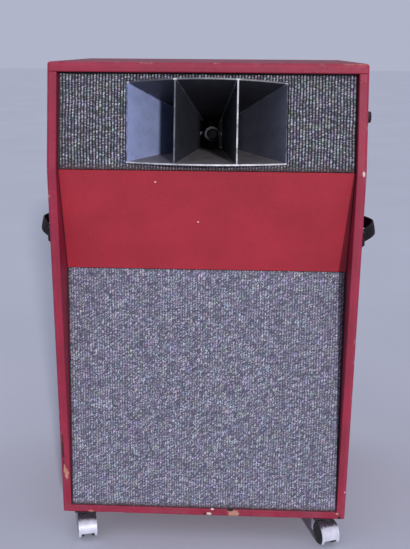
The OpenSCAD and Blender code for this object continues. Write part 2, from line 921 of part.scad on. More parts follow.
// Rear input
jack_body_r = 12;
module input_axis() {
    translate([0, y_back_in + back_t, z_bot + input_rise])
        rotate([-90, 0, 0])
            children();
}
module input_plate() {
    color("silver")
        input_axis()
            difference() {
                linear_extrude(2)
                    rounded(input_w, input_h, 4);
                translate([0, 0, -1])
                    cylinder(r = 4.8, h = 4);
                for (x = [-1, 1], y = [-1, 1])
                    translate([x * (input_w / 2 - 8), y * (input_h / 2 - 8), -1])
                        cylinder(r = 1.8, h = 4);
            }
}
module input_jack() {
    color("black")
        input_axis()
            difference() {
                union() {
                    translate([0, 0, -jack_l + 4])
                        cylinder(r = jack_body_r - 1, h = jack_l - 4);
                    cylinder(r = 4.75, h = 6);
                    translate([0, 0, 2])
                        cylinder(r = 7, h = 2.5);
                }
                translate([0, 0, 6 - jack_l])
                    cylinder(d = jack_d, h = jack_l + 2);
            }
}

// Strap handles
strap_z = z_nose - strap_drop;
strap_y0 = y_nose + strap_y + cap_l / 2;
strap_mid = strap_y0 + strap_free / 2;
strap_r = (pow(strap_free / 2, 2) + pow(strap_bulge, 2)) / (2 * strap_bulge);
cap_h = strap_h + 12;
// Right strap: a bowed middle with a flat tab under each cap
module strap() {
    x0 = box_w / 2;
    cx = x0 + strap_t / 2 + strap_bulge - strap_r;
    translate([0, 0, strap_z - strap_h / 2])
        linear_extrude(strap_h) {
            intersection() {
                translate([cx, strap_mid])
                    difference() {
                        circle(strap_r + strap_t / 2);
                        circle(strap_r - strap_t / 2);
                    }
                translate([x0 + 0.2, strap_mid - strap_free / 2])
                    square([strap_bulge + strap_t, strap_free]);
            }
            for (s = [-1, 1])
                translate([x0 + strap_t / 2, strap_mid + s * (strap_free / 2 + cap_l / 2 - 4)])
                    square([strap_t, cap_l - 4], center = true);
        }
}
module left_strap() {
    color("black")
        mirror([1, 0, 0])
            strap();
}
module right_strap() {
    color("black")
        strap();
}
module end_cap(s) {
    y = strap_mid + s * (strap_free / 2 + cap_l / 2);
    translate([box_w / 2, y, strap_z]) {
        difference() {
            rotate([90, 0, 90])
                linear_extrude(strap_t + 2.5)
                    rounded(cap_l, cap_h, 5);
            translate([(strap_t + 0.3) / 2, -s * 3, 0])
                cube([strap_t + 0.3, cap_l, strap_h + 0.4], center = true);
        }
        for (k = [-1, 1])
            translate([strap_t + 2.5, 0, k * (cap_h / 2 - 6)])
                rotate([0, 90, 0])
                    cylinder(r1 = 3.4, r2 = 2.2, h = 1.4);
    }
}
module strap_caps() {
    color("silver")
        for (m = [0, 1])
            mirror([m, 0, 0])
                for (s = [-1, 1])
                    end_cap(s);
}

// Castors
plate_hole = castor_plate / 2 - 7;
castor_x = box_w / 2 - castor_in_x;
castor_y = box_d / 2 - castor_in_y;
module at_castors() {
    for (x = [-1, 1], y = [-1, 1])
        translate([x * castor_x, y * castor_y, 0])
            children();
}
module castor_plates() {
    color("silver")
        at_castors() {
            difference() {
                union() {
                    translate([0, 0, castor_h - plate_t])
                        linear_extrude(plate_t)
                            rounded(castor_plate, castor_plate, 4);
                    translate([0, 0, castor_h - plate_t - collar_t])
                        cylinder(r = stem_d / 2 + 4, h = collar_t + 1);
                }
                translate([0, 0, castor_h - 10])
                    cylinder(r = stem_d / 2 + 0.02, h = 20);
                for (x = [-1, 1], y = [-1, 1])
                    translate([x * plate_hole, y * plate_hole, castor_h - 5])
                        cylinder(r = 2.1, h = 10);
            }
            for (x = [-1, 1], y = [-1, 1])
                translate([x * plate_hole, y * plate_hole, castor_h - plate_t])
                    rotate_extrude()
                        polygon([[0, -1.8], [2.4, -1.8], [3.8, 0], [2, 0], [2, plate_t + 12],
                            [0, plate_t + 12]]);
        }
}
module castor_stems() {
    color("silver")
        at_castors()
            translate([0, 0, axle_z - 9])
                cylinder(d = stem_d, h = castor_h - axle_z + 9);
}
// A castor's own frame: the stem at the origin, the axle in front of it
module castor(x, y, yaw) {
    translate([x * castor_x, y * castor_y, 0])
        rotate(yaw)
            children();
}
module side_cylinder(r, x0, x1) {
    translate([x0, -trail, axle_z])
        rotate([0, 90, 0])
            cylinder(r = r, h = x1 - x0);
}
module hood() {
    back = stem_d / 2 + 6;
    difference() {
        union() {
            // Fender over both wheels, closed at the back around the stem
            difference() {
                intersection() {
                    union() {
                        side_cylinder(hood_r, -hood_w / 2, hood_w / 2);
                        translate([-hood_w / 2, -trail, 0])
                            cube([hood_w, trail + back, axle_z + hood_r]);
                    }
                    union() {
                        translate([-hood_w, -trail - 2 * hood_r, axle_z - 5])
                            cube([2 * hood_w, 4 * hood_r, hood_top - axle_z + 5]);
                        translate([-hood_w, -trail - 2 * hood_r, skirt_z])
                            cube([2 * hood_w, 2 * hood_r, axle_z - skirt_z]);
                    }
                    // Rounded ends of the fender
                    translate([0, 0, hood_top / 2])
                        along_y(4 * hood_r)
                            rounded(hood_w, hood_top, 5);
                }
                // The face between the fender's two raised rims
                difference() {
                    side_cylinder(hood_r + 5, hood_rim - hood_w / 2, hood_w / 2 - hood_rim);
                    side_cylinder(hood_r - 1.2, -hood_w, hood_w);
                    translate([-hood_w, -trail, 0])
                        cube(2 * hood_w);
                }
                for (s = [-1, 1])
                    translate([s * (wheel_gap / 2 - 0.1 + wheel_w), 0, 0])
                        side_cylinder(pocket_r, -wheel_w, wheel_w);
            }
            // Web between the wheels and boss for the stem
            side_cylinder(12, -wheel_gap / 2 + 0.4, wheel_gap / 2 - 0.4);
            translate([-wheel_gap / 2 + 0.4, -trail, axle_z - 12])
                cube([wheel_gap - 0.8, trail, 24]);
            translate([0, 0, axle_z - 12])
                cylinder(r = wheel_gap / 2 - 0.4, h = hood_top - axle_z + 12);
        }
        translate([0, 0, axle_z - 10])
            cylinder(r = stem_d / 2 + run_gap, h = castor_h);
        side_cylinder(axle_d / 2 + 0.01, -hood_w, hood_w);
        // Arch between the two feet of the skirt
        translate([0, -trail, skirt_z])
            along_y(4 * hood_r)
                rounded(hood_w - 12, 15, 3);
    }
}
module axle() {
    l = hood_w / 2 - 4;
    side_cylinder(axle_d / 2, -l, l);
}
// One wheel with a closed outer face: s is its side of the castor
module wheel(s) {
    r = wheel_d / 2;
    w = wheel_w;
    b = axle_d / 2 + run_gap;
    l = hood_w / 2 - 4 - wheel_gap / 2 + 0.3;
    translate([0, -trail, axle_z])
        rotate([0, s * 90, 0])
            translate([0, 0, wheel_gap / 2])
                rotate_extrude()
                    polygon([[b, 0], [8, 0], [9, 2], [r - 6, 2], [r - 5, 0], [r - 2, 0], [r, 2],
                        [r, w - 3], [r - 0.9, w - 0.9], [r - 3, w], [r - 6, w], [r - 7, w - 1.2],
                        [9, w - 1.2], [7, w], [0, w], [0, l], [b, l]]);
}
module castor_fl_hood() {
    color("lightgray")
        castor(-1, -1, yaw_fl)
            hood();
}
module castor_fr_hood() {
    color("lightgray")
        castor(1, -1, yaw_fr)
            hood();
}
module castor_rl_hood() {
    color("lightgray")
        castor(-1, 1, yaw_rl)
            hood();
}
module castor_rr_hood() {
    color("lightgray")
        castor(1, 1, yaw_rr)
            hood();
}
module castor_fl_axle() {
    color("silver")
        castor(-1, -1, yaw_fl)
            axle();
}
module castor_fr_axle() {
    color("silver")
        castor(1, -1, yaw_fr)
            axle();
}
module castor_rl_axle() {
    color("silver")
        castor(-1, 1, yaw_rl)
            axle();
}
module castor_rr_axle() {
    color("silver")
        castor(1, 1, yaw_rr)
            axle();
}
module castor_fl_wheel_a() {
    color("dimgray")
        castor(-1, -1, yaw_fl)
            wheel(-1);
}
module castor_fl_wheel_b() {
    color("dimgray")
        castor(-1, -1, yaw_fl)
            wheel(1);
}
module castor_fr_wheel_a() {
    color("dimgray")
        castor(1, -1, yaw_fr)
            wheel(-1);
}
module castor_fr_wheel_b() {
    color("dimgray")
        castor(1, -1, yaw_fr)
            wheel(1);
}
module castor_rl_wheel_a() {
    color("dimgray")
        castor(-1, 1, yaw_rl)
            wheel(-1);
}
module castor_rl_wheel_b() {
    color("dimgray")
        castor(-1, 1, yaw_rl)
            wheel(1);
}
module castor_rr_wheel_a() {
    color("dimgray")
        castor(1, 1, yaw_rr)
            wheel(-1);
}
module castor_rr_wheel_b() {
    color("dimgray")
        castor(1, 1, yaw_rr)
            wheel(1);
}

left_side();
right_side();
top_panel();
bottom_panel();
back_panel();
back_screws();
battens();
horn_baffle();
horn_cloth();
sloping_panel();
bass_baffle();
bass_cloth();
horn_upper_plate();
horn_lower_plate();
horn_left_wall();
horn_right_wall();
horn_left_vane();
horn_right_vane();
horn_throat_plate();
horn_bolts();
horn_driver();
horn_driver_cap();
woofer_basket();
woofer_magnet();
woofer_pole_piece();
woofer_cone();
woofer_dust_cap();
woofer_voice_coil();
woofer_surround();
woofer_spider();
woofer_bolts();
crossover_board();
crossover_coil();
crossover_capacitors();
level_control();
level_shaft();
level_knob();
input_plate();
input_jack();
left_strap();
right_strap();
strap_caps();
castor_plates();
castor_stems();
castor_fl_hood();
castor_fr_hood();
castor_rl_hood();
castor_rr_hood();
castor_fl_axle();
castor_fr_axle();
castor_rl_axle();
castor_rr_axle();
castor_fl_wheel_a();
castor_fl_wheel_b();
castor_fr_wheel_a();
castor_fr_wheel_b();
castor_rl_wheel_a();
castor_rl_wheel_b();
castor_rr_wheel_a();
castor_rr_wheel_b();
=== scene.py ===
"""Finishes and dressed pieces of a vinyl-covered loudspeaker cabinet with a three-cell horn."""

import json
import logging
import math
import random
from dataclasses import dataclass
from enum import Enum

import bmesh
import bpy
from mathutils import Matrix, Vector

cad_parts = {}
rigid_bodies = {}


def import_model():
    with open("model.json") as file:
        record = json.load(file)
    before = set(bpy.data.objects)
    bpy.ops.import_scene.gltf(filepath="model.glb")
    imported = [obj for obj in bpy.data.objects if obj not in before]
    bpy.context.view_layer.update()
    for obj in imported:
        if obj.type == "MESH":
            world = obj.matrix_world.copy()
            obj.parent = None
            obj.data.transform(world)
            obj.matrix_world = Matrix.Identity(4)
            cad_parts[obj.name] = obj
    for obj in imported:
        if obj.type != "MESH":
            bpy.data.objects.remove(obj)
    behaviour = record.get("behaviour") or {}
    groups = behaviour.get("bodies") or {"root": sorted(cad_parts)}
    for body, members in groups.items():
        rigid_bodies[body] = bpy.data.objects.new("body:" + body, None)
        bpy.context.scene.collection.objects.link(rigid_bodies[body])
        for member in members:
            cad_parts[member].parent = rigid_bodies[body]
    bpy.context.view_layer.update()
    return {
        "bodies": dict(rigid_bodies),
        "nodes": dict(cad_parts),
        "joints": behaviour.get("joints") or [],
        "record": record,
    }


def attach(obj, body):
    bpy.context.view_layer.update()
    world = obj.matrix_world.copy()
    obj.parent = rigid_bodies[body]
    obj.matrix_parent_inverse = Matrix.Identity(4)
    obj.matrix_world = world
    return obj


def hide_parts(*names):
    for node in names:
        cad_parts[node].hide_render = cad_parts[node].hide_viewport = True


log = logging.getLogger("loudspeaker")

Mesh = bmesh.types.BMesh
Object = bpy.types.Object
Socket = bpy.types.NodeSocket
Value = bpy.types.NodeSocket | float | tuple
Pair = tuple[float, float]
Point = tuple[float, float, float]
Sockets = bpy.types.bpy_prop_collection
Layers = tuple[Socket, Socket, Value, Socket]
# Three numbers from 0 to 255 are a colour as seen, four numbers a linear one
Colour = tuple[float, ...]

# Sizes of the box, repeated from the part's source, in metres
BOX_HALF_W = 0.325
FRONT_Y = -0.255
REAR_Y = 0.255
BOX_LOW = 0.060
BOX_TOP = 1.070
NOSE_Z = 0.857
TOP_FRONT_Y = -0.205
LEAN = math.atan2(TOP_FRONT_Y - FRONT_Y, BOX_TOP - NOSE_Z)
BASS_SET_BACK, BASS_RISE = 0.062, 0.554
BASS_LEAN = math.atan2(BASS_SET_BACK, BASS_RISE)
CLOTH_HALF_W = 0.3015
CLOTH_T = 0.0016


def linear(colour: Value) -> Value:
    """Turns a colour as seen into the linear one that a shader takes.

    Args:
        colour: Red, green and blue from 0 to 255, or anything else, which is left as it is.

    Returns:
        Linear red, green, blue and an alpha of 1.
    """
    if not isinstance(colour, tuple) or len(colour) != 3:
        return colour
    shares = [c / 255 for c in colour]
    return (*[s / 12.92 if s <= 0.04045 else ((s + 0.055) / 1.055) ** 2.4 for s in shares], 1.0)


# What shows where a finish is chipped, pitted, rubbed or dirty, and the colours of painted shade in
# the horn, the throat's hole, behind the bass cloth and on the castor hoods
PALE = (214, 190, 178)
BEIGE = (180, 128, 112)
DARK = (38, 22, 22)
CHALK = (228, 222, 218)
# Painted shade of the horn's depths and of the throat's hole
DEEP_SHADE = (12, 12, 15)
PIT = (0.01, 0.01, 0.012, 1.0)
RUBBED_VINYL = (178, 62, 94)
FLOOR_GRIME = (146, 82, 96)
CLOTH_GRIME = (72, 52, 52)
# Painted shade of the bass driver's opening, seen through the cloth
CUT_OUT_SHADE = (40, 38, 44)
RUBBED_SEAM = (206, 208, 222)
# Painted shadow of the box with grime, on the castor hoods' upper parts
BLACK_SHADE_AND_GRIME = (14, 12, 18)
BROWN_SHADE_AND_GRIME = (84, 62, 80)


@dataclass(frozen=True)
class Place:
    """A leaning frame: its origin, and its tilt backwards about the x axis."""

    origin: Point
    tilt: float = 0.0

    def matrix(self) -> Matrix:
        """Returns the matrix from this frame to the part's frame."""
        return Matrix.Translation(self.origin) @ Matrix.Rotation(-self.tilt, 4, "X")


ROOM = Place((0.0, 0.0, 0.0))
HORN = Place((0.0, -0.215934, 0.951), LEAN)
BASS = Place((0.0, -0.190, 0.634), BASS_LEAN)


class Tree:
    """Short calls that add nodes to one node tree, and the coordinates that they work on."""

    def __init__(self, tree: bpy.types.NodeTree) -> None:
        """Keeps the tree that the nodes go into."""
        self.tree = tree
        self.nodes = tree.nodes
        self.here: Socket | None = None

    def put(self, socket: Socket, value: Value) -> None:
        """Joins a socket to another one, or gives it a plain value."""
        if isinstance(value, bpy.types.NodeSocket):
            self.tree.links.new(value, socket)
        else:
            socket.default_value = value

    def add(self, kind: str, inputs: dict | None = None, **settings: object) -> bpy.types.Node:
        """Adds a shader node.

        Args:
            kind: Node type without the word ShaderNode.
            inputs: Input names or numbers, each with a socket or a value.
            **settings: Properties of the node itself.

        Returns:
            The new node.
        """
        node = self.nodes.new("ShaderNode" + kind)
        for name, value in settings.items():
            setattr(node, name, value)
        for name, value in (inputs or {}).items():
            self.put(node.inputs[name], value)
        return node

    def math(self, operation: str, a: Value, b: Value = 0.0, clamp: bool = False) -> Socket:
        """Returns the result of a Math node."""
        return self.add("Math", {0: a, 1: b}, operation=operation, use_clamp=clamp).outputs[0]

    def times(self, a: Value, b: Value, clamp: bool = False) -> Socket:
        """Returns the product of two values."""
        return self.math("MULTIPLY", a, b, clamp)

    def plus(self, a: Value, b: Value) -> Socket:
        """Returns the sum of two values."""
        return self.math("ADD", a, b)

    def less(self, a: Value, b: Value) -> Socket:
        """Returns the first value less the second."""
        return self.math("SUBTRACT", a, b)

    def apart(self, a: Value, b: Value) -> Socket:
        """Returns how far two values lie apart."""
        return self.math("ABSOLUTE", self.less(a, b))

    def vector(self, operation: str, a: Value, b: Value = (0.0, 0.0, 0.0)) -> Socket:
        """Returns the result of a Vector Math node, a length as its value."""
        node = self.add("VectorMath", {0: a, 1: b}, operation=operation)
        return node.outputs[1 if operation in ("LENGTH", "DISTANCE", "DOT_PRODUCT") else 0]

    def axes(self, vector: Value | None = None) -> Sockets:
        """Returns the X, Y and Z of a vector, or else of the coordinates."""
        return self.add("SeparateXYZ", {0: vector or self.here}).outputs

    def span(self, value: Value, low: Value, high: Value, to: Pair = (0.0, 1.0)) -> Socket:
        """Maps a value from one span to another and holds it at both ends."""
        inputs = {0: value, 1: low, 2: high, 3: to[0], 4: to[1]}
        return self.add("MapRange", inputs).outputs[0]

    def mix(self, share: Value, a: Value, b: Value, blend: str = "MIX") -> Socket:
        """Returns the mix of two colours."""
        inputs = {0: share, 6: linear(a), 7: linear(b)}
        return self.add("Mix", inputs, data_type="RGBA", blend_type=blend).outputs[2]

    def per(self, size: Value) -> Value:
        """Returns the scale of a texture whose parts are about size across, in metres."""
        return 1 / size if isinstance(size, float) else self.math("DIVIDE", 1.0, size)

    def noise(
        self, size: Value, detail: float = 3.0, rough: float = 0.55, on: Value | None = None,
        gives: str = "Fac",
    ) -> Socket:
        """Returns noise on the coordinates, or on others."""
        inputs = {"Vector": on or self.here, "Scale": self.per(size), "Detail": detail,
                  "Roughness": rough}
        return self.add("TexNoise", inputs).outputs[gives]

    def ragged(self, size: float, detail: float, rough: float, by: Value) -> Socket:
        """Returns noise about zero, which makes a border ragged by the given amount."""
        return self.times(self.less(self.noise(size, detail, rough), 0.5), by)

    def bent(self, size: float, by: float) -> Socket:
        """Returns the coordinates shifted by noise, so that nothing on them is straight."""
        inputs = {0: self.noise(size, 1.0, 0.5, gives="Color"), 1: (by, by, by), 2: self.here}
        return self.add("VectorMath", inputs, operation="MULTIPLY_ADD").outputs[0]


class Effects:
    """Node groups that more than one finish uses, each built once."""

    # Inputs and outputs that aren't plain values
    KINDS = {
        "Vector": "Vector", "Origin": "Vector", "Centre": "Vector", "Extent": "Vector",
        "Stretch": "Vector", "Hue": "Color",
    }

    def __init__(self) -> None:
        """Builds every group."""
        self.made: dict[str, bpy.types.NodeTree] = {}
        for build in (self.placed, self.grain, self.box_edges, self.spot, self.lines,
                      self.scratches, self.dust, self.ribs):
            build()

    def start(self, name: str, takes: str, gives: str) -> tuple:
        """Starts a node group.

        Args:
            name: Name of the effect.
            takes: Names of its inputs, with spaces between them.
            gives: Names of its outputs, with spaces between them.

        Returns:
            The tree, its input sockets and its output sockets.
        """
        tree = bpy.data.node_groups.new(name, "ShaderNodeTree")
        for way, keys in (("INPUT", takes), ("OUTPUT", gives)):
            for key in keys.split():
                kind = "NodeSocket" + self.KINDS.get(key, "Float")
                tree.interface.new_socket(key, in_out=way, socket_type=kind)
        self.made[name] = tree
        t = Tree(tree)
        got = t.nodes.new("NodeGroupInput").outputs
        t.here = got["Vector"]
        return t, got, t.nodes.new("NodeGroupOutput").inputs

    def placed(self) -> None:
        """Turns object coordinates into those of a leaning frame."""
        t, got, out = self.start("placed", "Vector Origin Tilt", "Vector")
        moved = t.vector("SUBTRACT", t.here, got["Origin"])
        inputs = {"Vector": moved, "Angle": got["Tilt"]}
        t.put(out["Vector"], t.add("VectorRotate", inputs, rotation_type="X_AXIS").outputs[0])

    def grain(self) -> None:
        """Pebbled grain of leathercloth, with fine pits between the pebbles."""
        t, got, out = self.start("grain", "Vector Size", "Height Tone")
        inputs = {"Vector": t.bent(1 / 90, 0.004), "Scale": t.per(got["Size"]), "Smoothness": 0.4}
        cells = t.add("TexVoronoi", inputs, feature="SMOOTH_F1").outputs["Distance"]
        dome = t.span(cells, 0.15, 0.75, (1.0, 0.0))
        fine = t.noise(got["Size"], 3.0, 0.5)
        t.put(out["Height"], t.plus(t.times(fine, 0.35), dome))
        t.put(out["Tone"], t.noise(1 / 11, 4.0, 0.5))

    def box_edges(self) -> None:
        """Mask of the outer edges of the box, the leaning ones too."""
        t, got, out = self.start("box_edges", "Vector Reach Ragged", "Mask")
        at = t.axes()
        side = t.less(BOX_HALF_W, t.math("ABSOLUTE", at["X"]))
        upright = t.less(at["Y"], FRONT_Y)
        rise = t.times(t.less(at["Z"], NOSE_Z), math.tan(LEAN))
        leaning = t.times(t.less(upright, rise), math.cos(LEAN))
        front = t.math("MINIMUM", upright, leaning)
        front = t.math("MINIMUM", front, t.less(REAR_Y, at["Y"]))
        level = t.math("MINIMUM", t.less(BOX_TOP, at["Z"]), t.less(at["Z"], BOX_LOW))
        near = t.math("MINIMUM", side, front)
        far = t.math("MINIMUM", t.math("MAXIMUM", side, front), level)
        second = t.math("MAXIMUM", near, far)
        ragged = t.ragged(0.012, 6.0, 0.7, got["Ragged"])
        t.put(out["Mask"], t.span(t.plus(second, ragged), got["Reach"], 0.0))

    def spot(self) -> None:
        """Mask of one worn spot with a ragged rim."""
        t, got, out = self.start("spot", "Vector Centre Extent Ragged", "Mask")
        away = t.vector("DIVIDE", t.vector("SUBTRACT", t.here, got["Centre"]), got["Extent"])
        ragged = t.ragged(0.004, 4.0, 0.7, got["Ragged"])
        t.put(out["Mask"], t.span(t.plus(t.vector("LENGTH", away), ragged), 1.0, 0.8))

    def lines(self) -> None:
        """Fine lines or fibres that run along the axis with the small stretch."""
        t, got, out = self.start("lines", "Vector Stretch Size", "Height Tone")
        drawn = t.vector("MULTIPLY", t.here, got["Stretch"])
        t.put(out["Height"], t.noise(got["Size"], 4.0, 0.65, drawn))
        t.put(out["Tone"], t.noise(t.math("DIVIDE", got["Size"], 0.13), 3.0, 0.5, drawn))

    def scratches(self) -> None:
        """Mask of thin scratches, only here and there."""
        t, got, out = self.start("scratches", "Vector Size Amount", "Mask")
        drawn = t.vector("MULTIPLY", t.bent(1 / 35, 0.02), (1.0, 0.8, 0.35))
        inputs = {"Vector": drawn, "Scale": t.per(got["Size"])}
        cells = t.add("TexVoronoi", inputs, feature="DISTANCE_TO_EDGE").outputs["Distance"]
        thin = t.span(cells, 0.02, 0.006)
        here = t.span(t.noise(0.05), t.less(1.0, got["Amount"]), 1.0, (0.0, 3.0))
        t.put(out["Mask"], t.times(thin, here, clamp=True))

    def dust(self) -> None:
        """Mask of dust and dirt that lies on what faces up."""
        t, got, out = self.start("dust", "Vector Amount", "Mask")
        lying = t.span(t.axes(t.add("NewGeometry").outputs["Normal"])["Z"], 0.3, 1.0)
        patchy = t.span(t.noise(0.03, 6.0, 0.65), 0.35, 0.7)
        t.put(out["Mask"], t.times(t.times(lying, patchy), got["Amount"], clamp=True))

    def ribs(self) -> None:
        """Upright woven ribs with pale flecks of thread, in the cloth's own frame."""
        t, got, out = self.start("ribs", "Vector Pitch Fleck Loose Even", "Height Shade Hue")
        at = t.axes()
        wander = t.ragged(0.06, 2.0, 0.55, 0.005)
        fray = t.ragged(0.003, 1.0, 0.55, t.times(got["Loose"], got["Pitch"]))
        across = t.math("DIVIDE", t.plus(t.plus(at["X"], wander), fray), got["Pitch"])
        rib = t.math("FLOOR", across)
        round_top = t.span(t.apart(t.math("FRACT", across), 0.5), 0.36, 0.08)
        shift = t.add("TexWhiteNoise", {"W": rib}, noise_dimensions="1D").outputs["Value"]
        along = t.plus(t.math("DIVIDE", t.plus(at["Z"], fray), got["Fleck"]), shift)
        stitch = t.apart(t.math("FRACT", along), 0.5)
        threads = t.times(round_top, t.span(stitch, 0.48, 0.26, (0.3, 1.0)))
        cell = t.add("CombineXYZ", {0: rib, 1: t.math("FLOOR", along)}).outputs[0]
        pick = t.add("TexWhiteNoise", {"Vector": cell}, noise_dimensions="2D").outputs["Value"]
        bright = t.math("MAXIMUM", t.math("POWER", pick, 1.4), got["Even"])
        tint = t.noise(1 / 55, 2.0, 0.5, gives="Color")
        t.put(out["Height"], threads)
        t.put(out["Shade"], t.times(threads, bright))
        t.put(out["Hue"], t.vector("MULTIPLY", tint, (2.0, 2.0, 2.0)))


class Paint(Tree):
    """The tree of one new material, in which the shared effects can be placed."""

    def __init__(self, name: str, effects: Effects | None = None) -> None:
        """Makes the material and starts with the object's own coordinates."""
        self.material = bpy.data.materials.new(name)
        self.material.use_nodes = True
        super().__init__(self.material.node_tree)
        self.effects = effects
        self.here = self.add("TexCoord").outputs["Object"]

    def shade(self, inputs: dict[str, Value]) -> None:
        """Gives the material's shader what it shows."""
        for key, value in inputs.items():
            self.put(self.nodes["Principled BSDF"].inputs[key], value)

    def use(self, name: str, **values: Value) -> Sockets:
        """Places an effect on the coordinates and returns its outputs."""
        node = self.nodes.new("ShaderNodeGroup")
        node.node_tree = self.effects.made[name]
        for key, value in {"Vector": self.here, **values}.items():
            self.put(node.inputs[key], value)
        return node.outputs

    def mask(self, name: str, **values: Value) -> Socket:
        """Places an effect on the coordinates and returns its mask."""
        return self.use(name, **values)["Mask"]


class Pattern(Enum):
    """What a finish's small relief is: pebbled grain, or lines that a stretch draws out."""

    GRAIN = "grain"
    LINES = "lines"


@dataclass(frozen=True)
class Finish:
    """A finish of two close tones with its own relief, wear and dust."""

    name: str
    colour: Colour
    second: Colour
    pattern: Pattern = Pattern.LINES
    size: float = 0.0012
    depth: float = 0.0002
    stretch: Point = (1.0, 1.0, 1.0)
    rough: Pair = (0.4, 0.6)
    metal: float = 0.0
    worn: Colour = (190, 188, 186)
    wear: float = 0.0
    dust: float = 0.12
    dusty: Colour = (150, 144, 138)
    pits: float = 0.3
    gloss: float = 0.5
    place: Place = ROOM

    def layers(self, t: Paint) -> Layers:
        """Makes the colour, roughness, metal share and height.

        Args:
            t: Tree of the material, with coordinates in the finish's own frame.

        Returns:
            Sockets for Base Color, Roughness, Metallic and the bump's height.
        """
        if self.pattern is Pattern.GRAIN:
            made = t.use("grain", Size=self.size)
        else:
            made = t.use("lines", Stretch=self.stretch, Size=self.size)
        height = made["Height"]
        colour = t.mix(t.span(made["Tone"], 0.35, 0.65), self.colour, self.second)
        colour = t.mix(t.span(height, 0.2, 0.5, (self.pits, 0.0)), colour, PIT)
        rough = t.span(height, 0.25, 0.75, self.rough)
        metal: Value = self.metal
        if self.wear > 0:
            mask = t.mask("scratches", Size=0.03, Amount=self.wear)
            colour = t.mix(mask, colour, self.worn)
            height = t.less(height, t.times(mask, 0.6))
        if self.dust > 0:
            mask = t.mask("dust", Amount=self.dust)
            colour = t.mix(mask, colour, self.dusty)
            rough = t.math("MAXIMUM", rough, t.times(mask, 0.9))
            if self.metal > 0:
                metal = t.span(mask, 0.0, 1.0, (self.metal, 0.0))
        return colour, rough, metal, height

    def make(self, effects: Effects) -> bpy.types.Material:
        """Builds the material."""
        t = Paint(self.name, effects)
        if self.place is not ROOM:
            placed = t.use("placed", Origin=self.place.origin, Tilt=self.place.tilt)
            t.here = placed["Vector"]
        colour, rough, metal, height = self.layers(t)
        bump = t.add("Bump", {"Height": height, "Strength": 0.8, "Distance": self.depth})
        t.shade({"Base Color": colour, "Roughness": rough, "Metallic": metal,
                 "Specular IOR Level": self.gloss, "Normal": bump.outputs[0]})
        return t.material


@dataclass(frozen=True)
class BrightMetal(Finish):
    """Bare metal with fine draw lines."""

    size: float = 0.0016
    depth: float = 0.00003
    metal: float = 1.0
    pits: float = 0.08


@dataclass(frozen=True)
class Spot:
    """A chip or rubbed place: its middle and half sizes in metres, and what shows in it."""

    centre: Point
    extent: Point
    shows: Colour
    ragged: float = 1.6


@dataclass(frozen=True)
class Vinyl(Finish):
    """Leathercloth over board, paler where its edges rub, with chips at known places.

    A seam is a dark line on both sides, this far from the middle.
    """

    pattern: Pattern = Pattern.GRAIN
    edge_reach: float = 0.011
    bare_reach: float = 0.0042
    edge_ragged: float = 0.012
    grimy: Pair = (0.32, 0.06)
    seam: float = 0.0
    spots: tuple[Spot, ...] = ()

    def layers(self, t: Paint) -> Layers:
        """Adds rubbed edges, grime towards the floor and single chips to the plain finish."""
        colour, rough, metal, height = super().layers(t)
        at = t.axes()
        patchy = t.span(t.noise(0.05, 6.0, 0.7), 0.42, 0.7)
        grime = t.times(t.span(at["Z"], *self.grimy), patchy)
        colour = t.mix(t.times(grime, 0.4), colour, FLOOR_GRIME)
        rubbed, bare = [t.mask("box_edges", Reach=reach, Ragged=self.edge_ragged)
                        for reach in (self.edge_reach, self.bare_reach)]
        colour = t.mix(t.times(rubbed, 0.35), colour, RUBBED_VINYL)
        bare = t.times(bare, t.span(t.noise(0.04, 4.0, 0.6), 0.56, 0.64))
        colour = t.mix(bare, colour, BEIGE)
        rough = t.plus(rough, t.times(bare, 0.3))
        height = t.less(height, t.times(bare, 1.5))
        if self.seam > 0:
            aside = t.math("ABSOLUTE", at["X"])
            line = t.span(aside, self.seam - 0.0022, self.seam - 0.0010, (0.0, 0.7))
            colour = t.mix(line, colour, DARK)
        for spot in self.spots:
            mask = t.mask("spot", Centre=spot.centre, Extent=spot.extent, Ragged=spot.ragged)
            colour = t.mix(mask, colour, spot.shows)
            height = t.less(height, mask)
        return colour, rough, metal, height


@dataclass(frozen=True)
class Weave(Finish):
    """Ribbed grille cloth of dark yarn with pale flecks, grubby along its lower edge.

    The cut-out is the height and radius of the bass driver's opening behind the cloth.
    """

    pitch: float = 0.0063
    fleck: float = 0.0019
    loose: float = 0.75
    even: float = 0.22
    pale: Colour = (212, 213, 232)
    lift: float = 1.0
    hue: float = 0.4
    low: float = -0.1
    cut_out: Pair | None = None

    def layers(self, t: Paint) -> Layers:
        """Makes ribs, tinted flecks, faint clouds, the painted shade of the driver's opening and
        the grubby edge.
        """
        made = t.use("ribs", Pitch=self.pitch, Fleck=self.fleck, Loose=self.loose,
                     Even=self.even)
        clouds = t.noise(0.035)
        dark = t.mix(t.span(clouds, 0.35, 0.65), self.colour, self.second)
        pale = t.mix(self.hue, self.pale, made["Hue"], "MULTIPLY")
        lift = t.span(clouds, 0.3, 0.7, (self.lift * 0.85, self.lift * 1.1))
        colour = t.mix(t.times(made["Shade"], lift, clamp=True), dark, pale)
        grubby = t.span(t.axes()["Z"], self.low + 0.013, self.low + 0.002, (0.0, 0.75))
        colour = t.mix(grubby, colour, CLOTH_GRIME)
        # Painted shade: a faint dark ring over the edge of the driver's opening behind the cloth
        if self.cut_out:
            height, radius = self.cut_out
            flat = t.vector("MULTIPLY", t.here, (1.0, 0.0, 1.0))
            near = t.apart(t.vector("DISTANCE", flat, (0.0, 0.0, height)), radius)
            colour = t.mix(t.span(near, 0.007, 0.0, (0.0, 0.16)), colour, CUT_OUT_SHADE)
        return colour, t.span(made["Height"], 0.0, 1.0, self.rough), 0.0, made["Height"]


